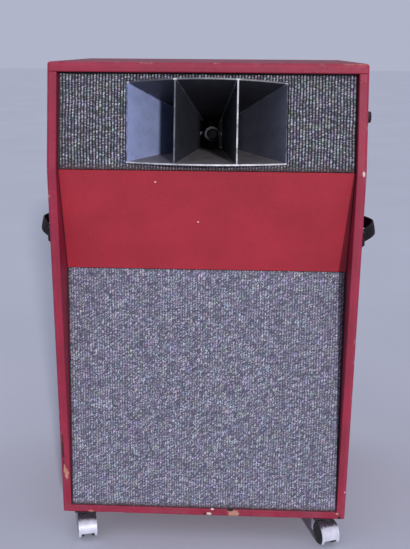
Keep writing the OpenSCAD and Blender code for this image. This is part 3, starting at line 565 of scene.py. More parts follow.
@dataclass(frozen=True)
class HornMetal(Finish):
    """Painted sheet metal with a painted highlight on the front edges of the mouth.

    The vanes and the walls stand at the given distance from the middle at the mouth, less
    the given share of the way in. Left of a given x the highlight is dimmed as painted shade,
    and the metal darkens towards the throat with painted shade.
    """

    size: float = 0.003
    depth: float = 0.00008
    stretch: Point = (1.0, 0.4, 1.0)
    rough: Pair = (0.42, 0.6)
    metal: float = 0.2
    wear: float = 0.22
    dust: float = 0.2
    place: Place = HORN
    mouth_r: float = 0.4029
    bulge: float = 0.034
    # Colour and share of the painted highlight on the mouth's front edges
    bright: Colour = (226, 228, 234)
    bare: float = 0.6
    # Left of this x the edge highlight keeps only the given share, as painted shade
    shaded_left_of: float = -1.0
    dull: float = 0.1
    # Span of depth over which painted shade darkens the metal towards the throat
    shade_towards_throat: Pair = (0.235, 0.30)
    vane: Pair = (0.060, 0.1067)
    wall: Pair = (0.162, 0.3538)
    seams: float = 0.0

    def seam(self, t: Paint) -> Socket:
        """Returns the mask of the rubbed lines where the vanes and walls meet the plates."""
        at = t.axes()
        aside = t.math("ABSOLUTE", at["X"])
        lines = [t.apart(aside, t.less(start, t.times(at["Y"], run)))
                 for start, run in (self.vane, self.wall)]
        near = t.span(t.math("MINIMUM", *lines), 0.0042, 0.003)
        patchy = t.span(t.noise(0.03, 4.0), 0.4, 0.6, (0.3, 1.0))
        return t.times(t.times(near, patchy), self.seams)

    def layers(self, t: Paint) -> Layers:
        """Adds painted shade towards the throat, the painted highlight of the front edges and the
        rubbed seams to the plain finish.
        """
        colour, rough, _, height = super().layers(t)
        at = t.axes()
        flat = t.vector("MULTIPLY", t.here, (1.0, 1.0, 0.0))
        # Painted highlight along the mouth's front edges
        out = t.vector("DISTANCE", flat, (0.0, self.mouth_r - self.bulge, 0.0))
        bare = t.span(out, self.mouth_r - 0.0012, self.mouth_r - 0.0004, (0.0, self.bare))
        bare = t.times(bare, t.span(t.noise(0.02, 6.0, 0.7), 0.36, 0.56, (0.25, 1.0)))
        # Painted shade: the highlight dimmed left of a given x
        low, high = self.shaded_left_of - 0.01, self.shaded_left_of + 0.01
        bare = t.times(bare, t.span(at["X"], low, high, (self.dull, 1.0)))
        # Painted shade, darker towards the throat
        colour = t.mix(t.span(at["Y"], *self.shade_towards_throat, (0.0, 0.9)), colour, DEEP_SHADE)
        colour = t.mix(bare, colour, self.bright)
        if self.seams > 0:
            colour = t.mix(self.seam(t), colour, RUBBED_SEAM)
        return colour, rough, self.metal, height


@dataclass(frozen=True)
class ThroatPlate(Finish):
    """Dark plate whose cast ring round the throat carries a painted highlight up and to the left.

    The hole is a dark disc of painted shade, a little off the middle, as the camera sees it.
    """

    size: float = 0.001
    place: Place = HORN
    middle: Point = (0.0, 0.0, 0.022)
    ring_r: float = 0.0177
    # Colour of the ring's painted highlight; dull is its share on the unlit side, lit the span over
    # which it fades
    bare: Colour = (248, 249, 255)
    dull: float = 0.12
    lit: Pair = (-0.006, 0.012)
    # Painted shade of the hole: its radius and offset
    hole_r: float = 0.0136
    hole_off: Point = (0.0028, 0.0, -0.0022)
    soft: float = 0.0004

    def layers(self, t: Paint) -> Layers:
        """Adds the ring's painted highlight and the hole's painted shade to the plain finish."""
        colour, rough, _, height = super().layers(t)
        flat = t.vector("MULTIPLY", t.here, (1.0, 0.0, 1.0))
        offset = t.vector("SUBTRACT", flat, self.middle)
        ring = t.span(t.vector("LENGTH", offset), self.ring_r + self.soft, self.ring_r)
        # Painted highlight: the ring brightens up and to the left
        side = t.vector("DOT_PRODUCT", offset, (-0.8, 0.0, 0.6))
        ring = t.times(ring, t.span(side, *self.lit, (self.dull, 1.0)))
        colour = t.mix(ring, colour, self.bare)
        # Painted shade of the hole, in the near-black of the horn's depths
        if self.hole_r > 0:
            off = t.vector("DISTANCE", offset, self.hole_off)
            colour = t.mix(t.span(off, self.hole_r + self.soft, self.hole_r), colour, DEEP_SHADE)
        return colour, rough, self.metal, height


@dataclass(frozen=True)
class Hood(Finish):
    """Bright castor hood, blackened where it turns in under the box by a painted shadow of the box
    and by grime.
    """

    shade_and_grime_from: float = 0.0462

    def layers(self, t: Paint) -> Layers:
        """Adds the painted shadow and grime of the upper part to the plain finish."""
        colour, rough, _, height = super().layers(t)
        # Painted shadow of the box with grime, from this height up
        level = t.plus(t.axes()["Z"], t.ragged(0.006, 5.0, 0.7, 0.008))
        grime = t.span(level, self.shade_and_grime_from, self.shade_and_grime_from + 0.004, (0.0, 0.95))
        blotches = t.span(t.noise(0.004, 3.0, 0.7), 0.45, 0.62)
        colour = t.mix(grime, colour, t.mix(blotches, BLACK_SHADE_AND_GRIME, BROWN_SHADE_AND_GRIME))
        return colour, t.math("MAXIMUM", rough, grime), self.metal, height


CHIPS = (
    Spot((0.3185, -0.250, 0.857), (0.003, 0.02, 0.006), PALE),
    Spot((-0.322, -0.253, 0.803), (0.0024, 0.01, 0.0034), BEIGE, 2.2),
    Spot((0.321, -0.250, 0.132), (0.0022, 0.01, 0.0024), PALE, 1.4),
    Spot((0.0215, -0.255, 0.0795), (0.0036, 0.01, 0.0022), CHALK, 0.8),
    Spot((0.004, -0.255, 0.0665), (0.006, 0.01, 0.0028), DARK, 2.2),
    Spot((0.014, -0.255, 0.0675), (0.0065, 0.01, 0.0045), PALE),
    Spot((0.070, -0.255, 0.0695), (0.0140, 0.01, 0.0110), BEIGE),
    Spot((0.063, -0.255, 0.0785), (0.008, 0.01, 0.0034), DARK),
    Spot((-0.260, -0.255, 0.064), (0.007, 0.01, 0.0045), BEIGE),
    Spot((-0.205, -0.255, 0.060), (0.03, 0.012, 0.0035), PALE, 2.6),
    Spot((-0.054, -0.255, 0.062), (0.006, 0.01, 0.003), DARK),
    Spot((0.307, -0.255, 0.077), (0.003, 0.01, 0.003), BEIGE, 2.0),
    Spot((0.3115, -0.255, 0.066), (0.004, 0.012, 0.005), DARK, 2.2),
    Spot((-0.3125, -0.255, 0.160), (0.005, 0.01, 0.014), BEIGE, 2.2),
    Spot((-0.3185, -0.255, 0.215), (0.0022, 0.01, 0.042), DARK, 4.5),
    Spot((-0.3165, -0.255, 0.172), (0.0030, 0.01, 0.012), BEIGE, 3.5),
)
FADED = (
    Spot((-0.104, -0.236, 0.832), (0.002, 0.01, 0.002), PALE, 0.8),
    Spot((-0.016, -0.215, 0.745), (0.002, 0.01, 0.002), PALE, 0.8),
)

FINISHES = (
    Vinyl("red_vinyl", (152, 27, 60), (136, 22, 51), size=0.0014, depth=0.00035, rough=(0.42, 0.62),
        wear=0.3, worn=(196, 128, 134), dust=0.17, gloss=0.42, spots=CHIPS),
    Vinyl("crimson_vinyl", (172, 34, 52), (160, 29, 46), size=0.0011, depth=0.00022,
        rough=(0.4, 0.56), wear=0.16, worn=(196, 92, 104), dust=0.1, edge_reach=0.0001, seam=0.304,
        spots=FADED),
    BrightMetal("steel_fixings", (176, 174, 168), (150, 146, 138), rough=(0.28, 0.5), wear=0.3,
        dust=0.3),
    Finish("pine", (206, 168, 118), (188, 144, 94), size=0.004, depth=0.0003,
        stretch=(1.0, 0.12, 0.12)),
    Finish("black_board", (34, 33, 34), (48, 46, 46), size=0.003, depth=0.0003,
        stretch=(0.15, 1.0, 1.0), rough=(0.6, 0.85)),
    Weave("horn_cloth", (9, 9, 14), (14, 12, 19), depth=0.0009, rough=(0.8, 0.95), place=HORN,
        low=-0.0965, lift=1.02),
    Weave("bass_cloth", (68, 68, 86), (74, 69, 92), depth=0.0006, rough=(0.7, 0.88), place=BASS,
        pitch=0.0056, fleck=0.0017, loose=2.05, even=0.06, lift=1.32, hue=0.36, low=-0.5575,
        cut_out=(-0.280, 0.178)),
    # Painted highlight on the mouth's front edges, dimmed left of x = -0.062 as painted shade
    HornMetal("horn_metal", (74, 73, 82), (64, 63, 72), worn=(124, 124, 132), dust=0.35, bare=0.15,
        shaded_left_of=-0.062, seams=0.95),
    HornMetal("horn_lower_metal", (130, 123, 131), (112, 106, 113), worn=(144, 140, 140), dust=0.5,
        bare=0.62, seams=0.45),
    # Painted light: the left horn wall is a lighter, bluer copy of the metal as painted light, and
    # the right wall a darker copy as painted shade, its front edge painted dark as a painted shadow
    HornMetal("horn_lit_wall_metal", (180, 193, 242), (168, 181, 230), rough=(0.4, 0.55), metal=0.1,
        wear=0.2, worn=(92, 94, 110), bare=0.85, bright=(60, 62, 72)),
    HornMetal("horn_shaded_wall_metal", (128, 130, 150), (116, 118, 138), metal=0.1, wear=0.2,
        worn=(160, 162, 178), bare=0.85, bright=(14, 14, 18)),
    # Painted highlight on the vanes' front edges, the left vane's dimmed as painted shade
    HornMetal("horn_vane_metal", (62, 64, 74), (52, 54, 64), worn=(104, 106, 116), bare=0.5,
        shaded_left_of=0.0, dull=0.3),
    # Throat plate with a painted highlight on its ring and painted shade in its hole; on the driver
    # the ring and hole are painted near-black as painted shade
    ThroatPlate("throat_metal", (13, 13, 17), (10, 10, 13), size=0.0015, rough=(0.8, 0.95),
        gloss=0.08),
    ThroatPlate("driver_paint", (30, 31, 34), (40, 41, 45), ring_r=0.0130, bare=(3, 3, 4),
        dull=1.0),
    # Painted highlight on the bolt up and to the left of the throat; the other bolts are darkened
    # as painted shade
    ThroatPlate("bolt_black_lit_left", (26, 27, 32), (21, 22, 26), rough=(0.7, 0.9), metal=0.3, ring_r=0.032,
        lit=(0.0185, 0.0215), dull=0.0, hole_r=0.0, bare=(196, 198, 222)),
    Finish("ferrite", (52, 51, 52), (64, 62, 62), size=0.0008, rough=(0.6, 0.8)),
    BrightMetal("plain_steel", (164, 166, 170), (140, 140, 142), rough=(0.3, 0.5), wear=0.25),
    Finish("cone_paper", (36, 34, 33), (48, 45, 42), size=0.0022, depth=0.0003, rough=(0.75, 0.95)),
    Finish("cap_paper", (46, 44, 42), (58, 55, 52), rough=(0.7, 0.9)),
    Finish("coil_wire", (176, 96, 52), (150, 76, 40), size=0.0016, depth=0.0003,
        stretch=(0.1, 0.1, 1.0), rough=(0.25, 0.45), metal=0.8),
    Finish("spider_cloth", (186, 140, 84), (164, 118, 68), size=0.001, rough=(0.8, 0.95)),
    Finish("capacitor_case", (196, 150, 48), (182, 134, 38), size=0.002, depth=0.0001,
        rough=(0.3, 0.5)),
    BrightMetal("control_metal", (158, 160, 164), (136, 136, 138), rough=(0.3, 0.48), wear=0.2),
    Finish("black_plastic", (13, 13, 18), (19, 19, 25), size=0.0007, depth=0.00008,
        rough=(0.32, 0.5), wear=0.25, worn=(92, 92, 94), dust=0.25, gloss=0.25),
    BrightMetal("input_metal", (182, 182, 184), (160, 160, 160), rough=(0.25, 0.42), wear=0.35,
        dust=0.15),
    Finish("strap_leather", (20, 15, 17), (31, 23, 23), Pattern.GRAIN, 0.0016, 0.0003,
        rough=(0.45, 0.68), wear=0.3, worn=(84, 62, 52), gloss=0.05),
    BrightMetal("cap_chrome", (56, 53, 53), (42, 40, 40), rough=(0.35, 0.55), wear=0.35,
        worn=(150, 142, 130), dust=0.15),
    # Darkened as painted shade beneath the box
    BrightMetal("castor_steel", (96, 94, 94), (74, 70, 68), rough=(0.4, 0.6), wear=0.3, dust=0.3),
    # Its dark dust on upward faces is partly a painted shadow of the box
    Hood("castor_chrome", (214, 214, 230), (196, 196, 212), size=0.003, depth=0.00004,
        rough=(0.4, 0.55), metal=0.15, wear=0.4, worn=(96, 92, 96), dust=0.6, dusty=(66, 62, 70),
        pits=0.1),
    Finish("wheel_plastic", (40, 38, 37), (56, 53, 50), size=0.0016, rough=(0.5, 0.75), wear=0.35,
        worn=(120, 114, 106), dust=0.4),
    Finish("stitch_thread", (70, 58, 50), (92, 76, 64), size=0.0006, rough=(0.7, 0.9)),
    Finish("pointer_paint", (226, 222, 210), (206, 200, 186), size=0.0008),
)

# Nodes whose finish isn't the plain one of their slot
OWN_FINISH = {
    # The two horn walls take lit and shaded copies of one metal, as painted light
    "horn_left_wall": "horn_lit_wall_metal", "horn_right_wall": "horn_shaded_wall_metal",
    "horn_left_vane": "horn_vane_metal", "horn_right_vane": "horn_vane_metal",
    # The horn's bolts carry a painted highlight on one side
    "horn_lower_plate": "horn_lower_metal", "horn_bolts": "bolt_black_lit_left",
}


class Finishes:
    """Every finish of the part, by its name."""

    def __init__(self, effects: Effects) -> None:
        """Makes every material.

        Args:
            effects: The shared node groups.
        """
        self.made = {finish.name: finish.make(effects) for finish in FINISHES}

    def dress(self, frame: dict) -> None:
        """Gives every carried-over node the material of its slot, or its own."""
        for row in frame["record"]["subparts"]:
            mesh = frame["nodes"][row["node"]].data
            mesh.materials.clear()
            mesh.materials.append(self.made[OWN_FINISH.get(row["node"], row["material_slot"])])
            log.info("node %s: %s", row["node"], row["material_slot"])


def link(name: str, data: bpy.types.ID) -> Object:
    """Puts an object with this data into the scene."""
    made = bpy.data.objects.new(name, data)
    bpy.context.scene.collection.objects.link(made)
    return made


def solid(name: str, bm: Mesh, material: bpy.types.Material) -> Object:
    """Makes an object of a mesh, which is used up."""
    mesh = bpy.data.meshes.new(name)
    bm.to_mesh(mesh)
    bm.free()
    mesh.materials.append(material)
    return link(name, mesh)


@dataclass
class Shop:
    """Turns finished meshes into pieces of the scene."""

    finishes: Finishes

    def piece(
        self, name: str, bm: Mesh, slot: str, body: str = "cabinet",
        instead_of: tuple[str, ...] = (), place: Matrix | None = None, crease: float = 35.0,
        finish: str | None = None,
    ) -> Object:
        """Makes an object at the origin whose place is in its mesh.

        Args:
            name: Name of the piece.
            bm: Its mesh, which is used up.
            slot: Slot of the record that the piece belongs to.
            body: CAD body that it rides on.
            instead_of: CAD nodes that it stands for.
            place: Matrix that puts the mesh in its place.
            crease: Angle in degrees past which an edge stays sharp.
            finish: Name of its finish where that isn't the slot's own.

        Returns:
            The new object.
        """
        bmesh.ops.remove_doubles(bm, verts=bm.verts, dist=1e-6)
        bmesh.ops.recalc_face_normals(bm, faces=bm.faces)
        if place is not None:
            bm.transform(place)
        sharp = math.radians(crease)
        for edge in bm.edges:
            edge.smooth = len(edge.link_faces) != 2 or edge.calc_face_angle(0.0) < sharp
        for face in bm.faces:
            face.smooth = True
        piece = solid(name, bm, self.finishes.made[finish or slot])
        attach(piece, body)
        if instead_of:
            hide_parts(*instead_of)
        log.info("piece %s: %d faces", name, len(piece.data.polygons))
        return piece


def thicken(piece: Object, thickness: float, offset: float) -> None:
    """Gives a piece made of a single skin its thickness."""
    thick = piece.modifiers.new("thickness", "SOLIDIFY")
    thick.thickness, thick.offset = thickness, offset


def face_out(piece: Object, outwards: Point) -> None:
    """Turns the faces of a single skin so that most look along the given axis."""
    if sum(polygon.normal.dot(outwards) for polygon in piece.data.polygons) < 0:
        piece.data.flip_normals()


def on_back(x: float, y: float, z: float) -> Matrix:
    """Returns the place of a thing on the cabinet's back, with its z axis outwards."""
    return Matrix.Translation((x, y, z)) @ Matrix.Rotation(-math.pi / 2, 4, "X")


def turned(bm: Mesh, outline: list[Pair], steps: int) -> list[bmesh.types.BMVert]:
    """Spins an outline of (radius, height) points about the z axis.

    Args:
        bm: Mesh that the turned shape goes into.
        outline: Points from the axis or an inner edge outwards.
        steps: Number of steps in the full turn.

    Returns:
        The vertices of the turned shape.
    """
    before = set(bm.verts)
    line = [bm.verts.new((radius, 0.0, height)) for radius, height in outline]
    edges = [bm.edges.new(pair) for pair in zip(line, line[1:])]
    bmesh.ops.spin(bm, geom=line + edges, cent=(0, 0, 0), axis=(0, 0, 1), angle=math.tau,
                   steps=steps, use_merge=True)
    made = [vert for vert in bm.verts if vert not in before]
    bmesh.ops.remove_doubles(bm, verts=made, dist=1e-6)
    return [vert for vert in bm.verts if vert not in before]


@dataclass
class GrilleCloth:
    """One woven cloth stretched over its baffle.

    The window is half the width and height of the horn's opening, and the cut-out is the
    height and radius of the bass driver's.
    """

    shop: Shop
    name: str
    rests_on: str
    place: Place
    low: float
    high: float
    window: Pair | None = None
    cut_out: Pair | None = None
    cell: float = 0.006
    sag: float = 0.0015
    sag_reach: float = 0.02
    wander: float = 0.0003

    def build(self) -> None:
        """Makes the cloth."""
        width, length = 2 * CLOTH_HALF_W, self.high - self.low
        area = width * length
        stand = Matrix.Translation((0.0, 0.0, (self.high + self.low) / 2))
        stand = stand @ Matrix.Rotation(math.pi / 2, 4, "X")
        bm = bmesh.new()
        bmesh.ops.create_grid(
            bm, x_segments=round(width / self.cell), y_segments=round(length / self.cell),
            size=0.5, matrix=stand @ Matrix.Diagonal((width, length, 1.0, 1.0)))
        if self.window:
            area -= 4 * self.window[0] * self.window[1]
            self.cut_window(bm, *self.window)
        if self.cut_out:
            height, radius = self.cut_out
            for vert in bm.verts:
                inside = radius - math.hypot(vert.co.x, vert.co.z - height)
                vert.co.y += self.sag * min(max(inside / self.sag_reach, 0.0), 1.0) ** 2
        self.relax_borders(bm)
        cloth = self.shop.piece(self.name + "_weave", bm, self.name, instead_of=(self.name,),
                                place=self.place.matrix())
        face_out(cloth, (0.0, -1.0, 0.0))
        thicken(cloth, CLOTH_T * 0.9, -1.0)

    @staticmethod
    def cut_window(bm: Mesh, half_w: float, half_h: float) -> None:
        """Cuts the opening for the horn along its own edges."""
        for at, normal in (((half_w, 0, 0), (1, 0, 0)), ((-half_w, 0, 0), (1, 0, 0)),
                           ((0, 0, half_h), (0, 0, 1)), ((0, 0, -half_h), (0, 0, 1))):
            geom = bm.verts[:] + bm.edges[:] + bm.faces[:]
            bmesh.ops.bisect_plane(bm, geom=geom, dist=1e-6, plane_co=at, plane_no=normal)
        middles = [(face, face.calc_center_median()) for face in bm.faces]
        inside = [face for face, at in middles if abs(at.x) < half_w and abs(at.z) < half_h]
        bmesh.ops.delete(bm, geom=inside, context="FACES")

    def relax_borders(self, bm: Mesh) -> None:
        """Lets the borders wander a little, as hand-stretched cloth does."""
        for vert in bm.verts:
            if vert.is_boundary:
                wave = math.sin(vert.co.x * 95) + math.sin(vert.co.z * 120 + 1.0)
                below = vert.co.z < (self.low + self.high) / 2
                vert.co.x += self.wander * wave * (1 if vert.co.x < 0 else -1)
                vert.co.z += self.wander * wave * (1 if below else -1)


@dataclass
class StrapHandle:
    """A leather carrying strap with its stitching, bowed out from one side."""

    shop: Shop
    side: int
    middle: Pair = (-0.130, 0.720)
    free: float = 0.180
    height: float = 0.028
    thickness: float = 0.004
    bulge: float = 0.039
    lean: float = 0.006
    lift: float = 0.003
    crown: float = 0.0008
    tucked: float = 0.021
    stitch_pitch: float = 0.0055
    stitch_margin: float = 0.0032

    def stand_off(self, along: float, across: float = 0.0) -> float:
        """Returns how far the strap stands off the side, more along its lower border.

        Args:
            along: Distance from the strap's middle.
            across: Place in the strap's height, from -0.5 at the bottom to 0.5 at the top.

        Returns:
            Distance from the side to the middle of the leather.
        """
        share = min(abs(along) / (self.free / 2), 1.0)
        if share < 0.9:
            soft = share ** 1.6
        else:
            soft = 1 - (1 - 0.9 ** 1.6) * ((1 - share) / 0.1) ** 1.3
        lean = across * self.lean * (1 - share * share)
        return self.thickness / 2 + self.bulge * (1 - soft) - lean

    def level(self, along: float, across: float) -> float:
        """Returns the height of a point of the strap, whose middle is lifted a little."""
        rise = self.lift * max(1 - (2 * along / self.free) ** 2, 0.0)
        return self.middle[1] + across * self.height + rise

    def build(self) -> None:
        """Makes the leather and its stitches."""
        node = "left_strap" if self.side < 0 else "right_strap"
        reach = self.free / 2 + self.tucked
        bm = bmesh.new()
        bmesh.ops.create_grid(bm, x_segments=72, y_segments=8, size=0.5)
        for vert in bm.verts:
            along, across = 2 * reach * vert.co.x, vert.co.y
            off = self.stand_off(along, across) + self.crown * (1 - (2 * across) ** 2)
            vert.co = Vector((self.side * (BOX_HALF_W + off), self.middle[0] + along,
                              self.level(along, across)))
        strap = self.shop.piece(node + "_leather", bm, "strap_leather", instead_of=(node,))
        face_out(strap, (self.side, 0.0, 0.0))
        thicken(strap, self.thickness * 0.88, 0.0)
        edge = strap.modifiers.new("edge", "BEVEL")
        edge.width, edge.segments, edge.limit_method = 0.0011, 2, "ANGLE"
        self.stitch(node)

    def stitch(self, node: str) -> None:
        """Sews a row of stitches along both borders of the strap's outer face."""
        bm = bmesh.new()
        half = self.free / 2 - 0.008
        count = round(2 * half / self.stitch_pitch)
        for row in (-1, 1):
            across = row * (0.5 - self.stitch_margin / self.height)
            for k in range(count + 1):
                along = half * (2 * k / count - 1)
                off = self.stand_off(along, across) + self.thickness / 2 + 0.0001
                slope = (self.stand_off(along + 0.001) - self.stand_off(along - 0.001)) / 0.002
                at = (BOX_HALF_W + off, self.middle[0] + along, self.level(along, across))
                place = Matrix.Translation(at) @ Matrix.Rotation(-math.atan(slope), 4, "Z")
                place = place @ Matrix.Diagonal((0.7, 3.6, 0.9, 1.0))
                bmesh.ops.create_icosphere(bm, subdivisions=1, radius=0.0005, matrix=place)
        bm.transform(Matrix.Scale(self.side, 4, (1, 0, 0)))
        self.shop.piece(node + "_stitches", bm, "strap_leather", finish="stitch_thread")


@dataclass
class Screw:
    """A round-headed slotted screw, drawn with the head towards +z."""

    radius: float = 0.0044
    rise: float = 0.0026
    slot: float = 0.0005
    slot_depth: float = 0.0011
    slot_floor: float = 0.0004
    skirt: float = -0.0006

    def head(self, bm: Mesh, place: Matrix, turn: float) -> None:
        """Adds one head with its slot.

        Args:
            bm: Mesh that the head goes into.
            place: Where the head sits.
            turn: Angle of the slot.
        """
        arc = [(self.radius * math.sin(a), self.rise * math.cos(a))
               for a in (0, 0.35, 0.7, 1.05, 1.3, math.pi / 2)]
        made = turned(bm, [*arc, (self.radius, self.skirt), (0.0, self.skirt)], 20)
        for cut in (-self.slot * 1.25, -self.slot, self.slot, self.slot * 1.25):
            held = set(made)
            mine = [vert for vert in bm.verts if vert in held]
            geom = set(mine)
            for vert in mine:
                geom.update(vert.link_edges, vert.link_faces)
            result = bmesh.ops.bisect_plane(bm, geom=list(geom), dist=1e-7,
                                            plane_co=(cut, 0, 0), plane_no=(1, 0, 0))
            made = mine + [item for item in result["geom_cut"]
                           if isinstance(item, bmesh.types.BMVert)]
        for vert in set(made):
            if abs(vert.co.x) <= self.slot * 1.01 and vert.co.z > 0.0005:
                vert.co.z = max(vert.co.z - self.slot_depth, self.slot_floor)
        turn = Matrix.Rotation(turn, 4, "Z")
        bmesh.ops.transform(bm, matrix=place @ turn, verts=list(set(made)))


@dataclass
class Hardware:
    """Screws on the back panel, the strap caps and the input plate, and the jack's nut.

    The seed is the source of the slots' angles.
    """

    shop: Shop
    seed: random.Random
    back_y: float = 0.245
    back_z: float = 0.565
    back_half: Pair = (0.295, 0.475)
    caps_y: Pair = (-0.233, -0.027)
    strap_y: float = -0.130
    caps_z: float = 0.720
    cap_size: Pair = (0.026, 0.040)
    cap_corner: float = 0.005
    input_z: float = 0.260

    def build(self) -> None:
        """Makes every screw head and what it holds."""
        self.back()
        self.caps()
        self.plate()

    def heads(self, name: str, screw: Screw, places: list[Matrix]) -> None:
        """Makes the heads of equal screws, each with its slot at an angle of its own."""
        bm = bmesh.new()
        for place in places:
            screw.head(bm, place, self.seed.uniform(0, math.tau))
        self.shop.piece(name, bm, "steel_fixings", crease=30.0)

    def back(self) -> None:
        """Makes the back panel's screws with a cup washer under each."""
        half_x, half_z = self.back_half
        points = [(k * half_x / 1.5, s * half_z) for s in (-1, 1) for k in (-1.5, -0.5, 0.5, 1.5)]
        points += [(s * half_x, k * 1.1 * half_z) for s in (-1, 1) for k in (-0.5, 0, 0.5)]
        places = [on_back(x, self.back_y + 0.0006, self.back_z + z) for x, z in points]
        self.heads("back_screw_heads", Screw(), places)
        cup = [(0.0035, 0.0), (0.0042, 0.0009), (0.0066, 0.0007), (0.0072, 0.0), (0.0035, 0.0)]
        lower = Matrix.Translation((0, -0.0004, 0))
        bm = bmesh.new()
        for place in places:
            bmesh.ops.transform(bm, matrix=lower @ place, verts=turned(bm, cup, 24))
        self.shop.piece("back_screw_washers", bm, "steel_fixings")

    def caps(self) -> None:
        """Makes the four pressed strap caps and the two screws of each."""
        bm, places = bmesh.new(), []
        for side in (-1, 1):
            outwards = Matrix.Rotation(side * math.pi / 2, 4, "Y")
            for y in self.caps_y:
                place = Matrix.Translation((BOX_HALF_W, y, self.caps_z))
                place = Matrix.Scale(side, 4, (1, 0, 0)) @ place
                self.pressed(bm, place, 1 if y < self.strap_y else -1)
                for up in (-0.0172, 0.0172):
                    at = (side * (BOX_HALF_W + 0.0013), y, self.caps_z + up)
                    places.append(Matrix.Translation(at) @ outwards)
        self.heads("strap_cap_screws", Screw(0.0031, 0.0016, 0.0004), places)
        cap = self.shop.piece("strap_caps_pressed", bm, "cap_chrome",
                              instead_of=("strap_caps",), crease=50.0)
        thicken(cap, 0.0012, -1.0)

    def pressed(self, bm: Mesh, place: Matrix, opens: int) -> None:
        """Presses one cap: flat ears above and below, and a raised middle over the strap's end.

        Args:
            bm: Mesh that the cap goes into.
            place: Where the cap sits.
            opens: Side along y on which the strap comes out.
        """
        (deep, tall), corner = self.cap_size, self.cap_corner
        made = bmesh.ops.create_grid(bm, x_segments=20, y_segments=36, size=0.5)["verts"]
        for vert in made:
            along, up = vert.co.x * deep, vert.co.y * tall
            past = max(abs(along) + corner - deep / 2, 0.0), max(abs(up) + corner - tall / 2, 0.0)
            reach = math.hypot(*past)
            if reach > corner:
                along -= math.copysign(past[0] * (1 - corner / reach), along)
                up -= math.copysign(past[1] * (1 - corner / reach), up)
            ridge = min(max((0.01560 - abs(up)) / 0.0016, 0.0), 1.0)
            closed = min(max((deep / 2 + along * opens) / 0.0035, 0.0), 1.0)
            ease = ridge * ridge * (3 - 2 * ridge) * math.sin(closed * math.pi / 2)
            vert.co = Vector((0.0013 + 0.0048 * ease, along, up))
        bmesh.ops.transform(bm, matrix=place, verts=made)

    def plate(self) -> None:
        """Makes the input plate's screws and the knurled nut of the jack."""
        places = [on_back(x, self.back_y + 0.0022, self.input_z + z)
                  for x in (-0.037, 0.037) for z in (-0.022, 0.022)]
        self.heads("input_screws", Screw(0.0034, 0.0019, 0.00045), places)
        nut, knurls = bmesh.new(), 60
        outline = [(0.0048, 0.0), (0.0078, 0.0), (0.0078, 0.0021), (0.0072, 0.0028),
                   (0.0052, 0.0028), (0.0048, 0.0024), (0.0048, 0.0)]
        for vert in turned(nut, outline, knurls):
            if math.hypot(vert.co.x, vert.co.y) > 0.0075:
                step = round(math.atan2(vert.co.y, vert.co.x) / math.tau * knurls)
                vert.co.xy *= 1 - 0.03 * (step % 2)
        place = on_back(0.0, self.back_y + 0.002, self.input_z)
        self.shop.piece("input_nut", nut, "input_metal", place=place, crease=25.0)


@dataclass
class LevelKnob:
    """A fluted pointer knob on the level control's shaft."""

    shop: Shop
    axis: Point = (0.3285, -0.140, 0.960)
    radius: float = 0.0125
    length: float = 0.0152
    flutes: int = 20

    def build(self) -> None:
        """Makes the knob and the painted line on its skirt and top."""
        place = Matrix.Translation(self.axis) @ Matrix.Rotation(math.pi / 2, 4, "Y")
        rim, top = self.radius, self.length
        outline = [
            (0.00302, 0.0), (rim - 0.0004, 0.0), (rim, 0.0004), (rim, 0.0018),
            (rim - 0.0004, 0.0023), (0.0123, 0.0028), (0.0123, 0.0036), (0.0120, top - 0.0024),
            (0.0115, top - 0.0010), (0.0105, top - 0.0002), (0.0094, top), (0.0076, top),
            (0.0071, top - 0.0007), (0.0, top - 0.0007),
        ]
        bm = bmesh.new()
        for vert in turned(bm, outline, self.flutes * 6):
            out = math.hypot(vert.co.x, vert.co.y)
            if 0.0100 < out < 0.01235 and 0.0034 < vert.co.z < top - 0.0003:
                around = math.atan2(vert.co.y, vert.co.x)
                vert.co.xy *= 1 - 0.05 * (0.5 - 0.5 * math.cos(self.flutes * around)) ** 2
        self.shop.piece("level_knob_fluted", bm, "black_plastic", body="level_knob",
                        instead_of=("level_knob",), place=place)
        line = bmesh.new()
        for low, high, z in ((0.0112, 0.0124, 0.0019), (0.0030, 0.0069, top - 0.0007)):
            bar = Matrix.Translation((-(high + low) / 2, 0.0, z))
            bar = bar @ Matrix.Diagonal((high - low, 0.0009, 0.0005, 1.0))
            bmesh.ops.create_cube(line, size=1.0, matrix=bar)
        bmesh.ops.bevel(line, geom=line.edges[:], offset=0.00015, offset_type="OFFSET",
                        segments=2, profile=0.5, affect="EDGES", material=-1)
        self.shop.piece("level_knob_pointer", line, "black_plastic", body="level_knob",
                        place=place, finish="pointer_paint")


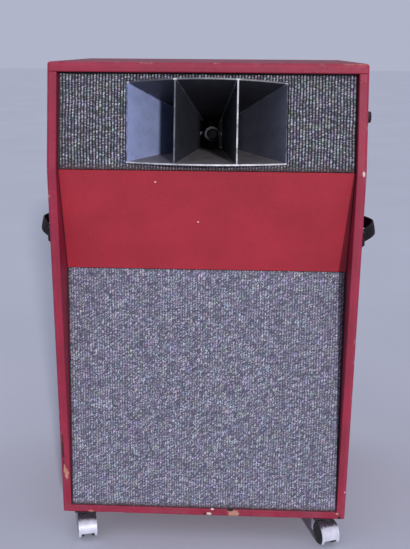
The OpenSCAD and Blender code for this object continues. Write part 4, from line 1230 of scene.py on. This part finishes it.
@dataclass
class Studio:
    """Floor, light and the camera of the photograph."""

    focal_px: float = 779.78
    image_h: int = 549
    sensor: float = 36.0
    camera_at: Point = (0.06324, -1.82515, 1.09973)
    right: Point = (0.999106, 0.041746, 0.006688)
    up: Point = (-0.018105, 0.279509, 0.959972)
    back: Point = (0.038206, -0.959235, 0.280015)
    floor_tones: tuple[Colour, Colour] = ((200, 203, 218), (206, 209, 224))
    sky_tones: tuple[Colour, Colour] = ((0.27, 0.28, 0.32, 1.0), (0.50, 0.52, 0.60, 1.0))
    seen_sky: Colour = (177, 181, 201)
    sun_from: Point = (0.252, -0.926, 0.281)
    sun_colour: Point = (1.0, 0.985, 0.985)
    sun_strength: float = 2.3
    sun_width: float = math.radians(3.5)

    def build(self) -> None:
        """Makes the camera, the floor, the world and the key light."""
        self.camera()
        self.floor()
        self.world()
        self.key()
        bpy.context.scene.view_settings.view_transform = "Standard"

    def camera(self) -> None:
        """Puts the camera where the photograph was taken."""
        data = bpy.data.cameras.new("camera")
        data.sensor_width = self.sensor
        data.lens = self.focal_px / self.image_h * self.sensor
        camera = link("camera", data)
        axes = Matrix((self.right, self.up, self.back)).transposed()
        camera.matrix_world = Matrix.Translation(self.camera_at) @ axes.to_4x4()
        bpy.context.scene.camera = camera

    def floor(self) -> None:
        """Lays a wide pale floor."""
        t = Paint("floor_paint")
        shade = t.span(t.noise(0.8, 4.0), 0.3, 0.7)
        t.shade({"Base Color": t.mix(shade, *self.floor_tones), "Roughness": 0.9,
                 "Specular IOR Level": 0.1})
        bm = bmesh.new()
        bmesh.ops.create_circle(bm, cap_ends=True, cap_tris=False, radius=40.0, segments=96)
        solid("floor", bm, t.material)

    def world(self) -> None:
        """Sets a soft, even world, which the camera and mirrors see as one pale colour."""
        world = bpy.data.worlds.new("studio")
        world.use_nodes = True
        bpy.context.scene.world = world
        t = Tree(world.node_tree)
        height = t.axes(t.add("TexCoord").outputs["Generated"])["Z"]
        soft = t.mix(t.span(height, -0.2, 0.8), *self.sky_tones)
        ray = t.add("LightPath").outputs
        seen = t.math("MAXIMUM", ray["Is Camera Ray"], ray["Is Glossy Ray"])
        seen = t.math("MAXIMUM", seen, ray["Is Transmission Ray"])
        t.put(t.nodes["Background"].inputs["Color"], t.mix(seen, soft, self.seen_sky))

    def key(self) -> None:
        """Hangs one sun-like key light in front, to the right and a little above."""
        data = bpy.data.lights.new("key", "SUN")
        data.energy, data.angle, data.color = self.sun_strength, self.sun_width, self.sun_colour
        key = link("key", data)
        key.rotation_mode = "QUATERNION"
        key.rotation_quaternion = Vector(self.sun_from).to_track_quat("Z", "Y")
        key.location = Vector(self.sun_from) * 4


def main() -> None:
    """Loads the frame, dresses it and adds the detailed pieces."""
    logging.basicConfig(level=logging.INFO, format="%(name)s: %(message)s")
    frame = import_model()
    Studio().build()
    finishes = Finishes(Effects())
    finishes.dress(frame)
    shop = Shop(finishes)
    for maker in (
        GrilleCloth(shop, "horn_cloth", "horn_baffle", HORN, -0.0965, 0.098,
                    window=(0.1664, 0.0839)),
        GrilleCloth(shop, "bass_cloth", "bass_baffle", BASS, -0.5568, -0.0012,
                    cut_out=(-0.2807, 0.178)),
        StrapHandle(shop, -1), StrapHandle(shop, 1), LevelKnob(shop),
        Hardware(shop, random.Random(7)),
    ):
        maker.build()


if __name__ == "__main__":
    main()
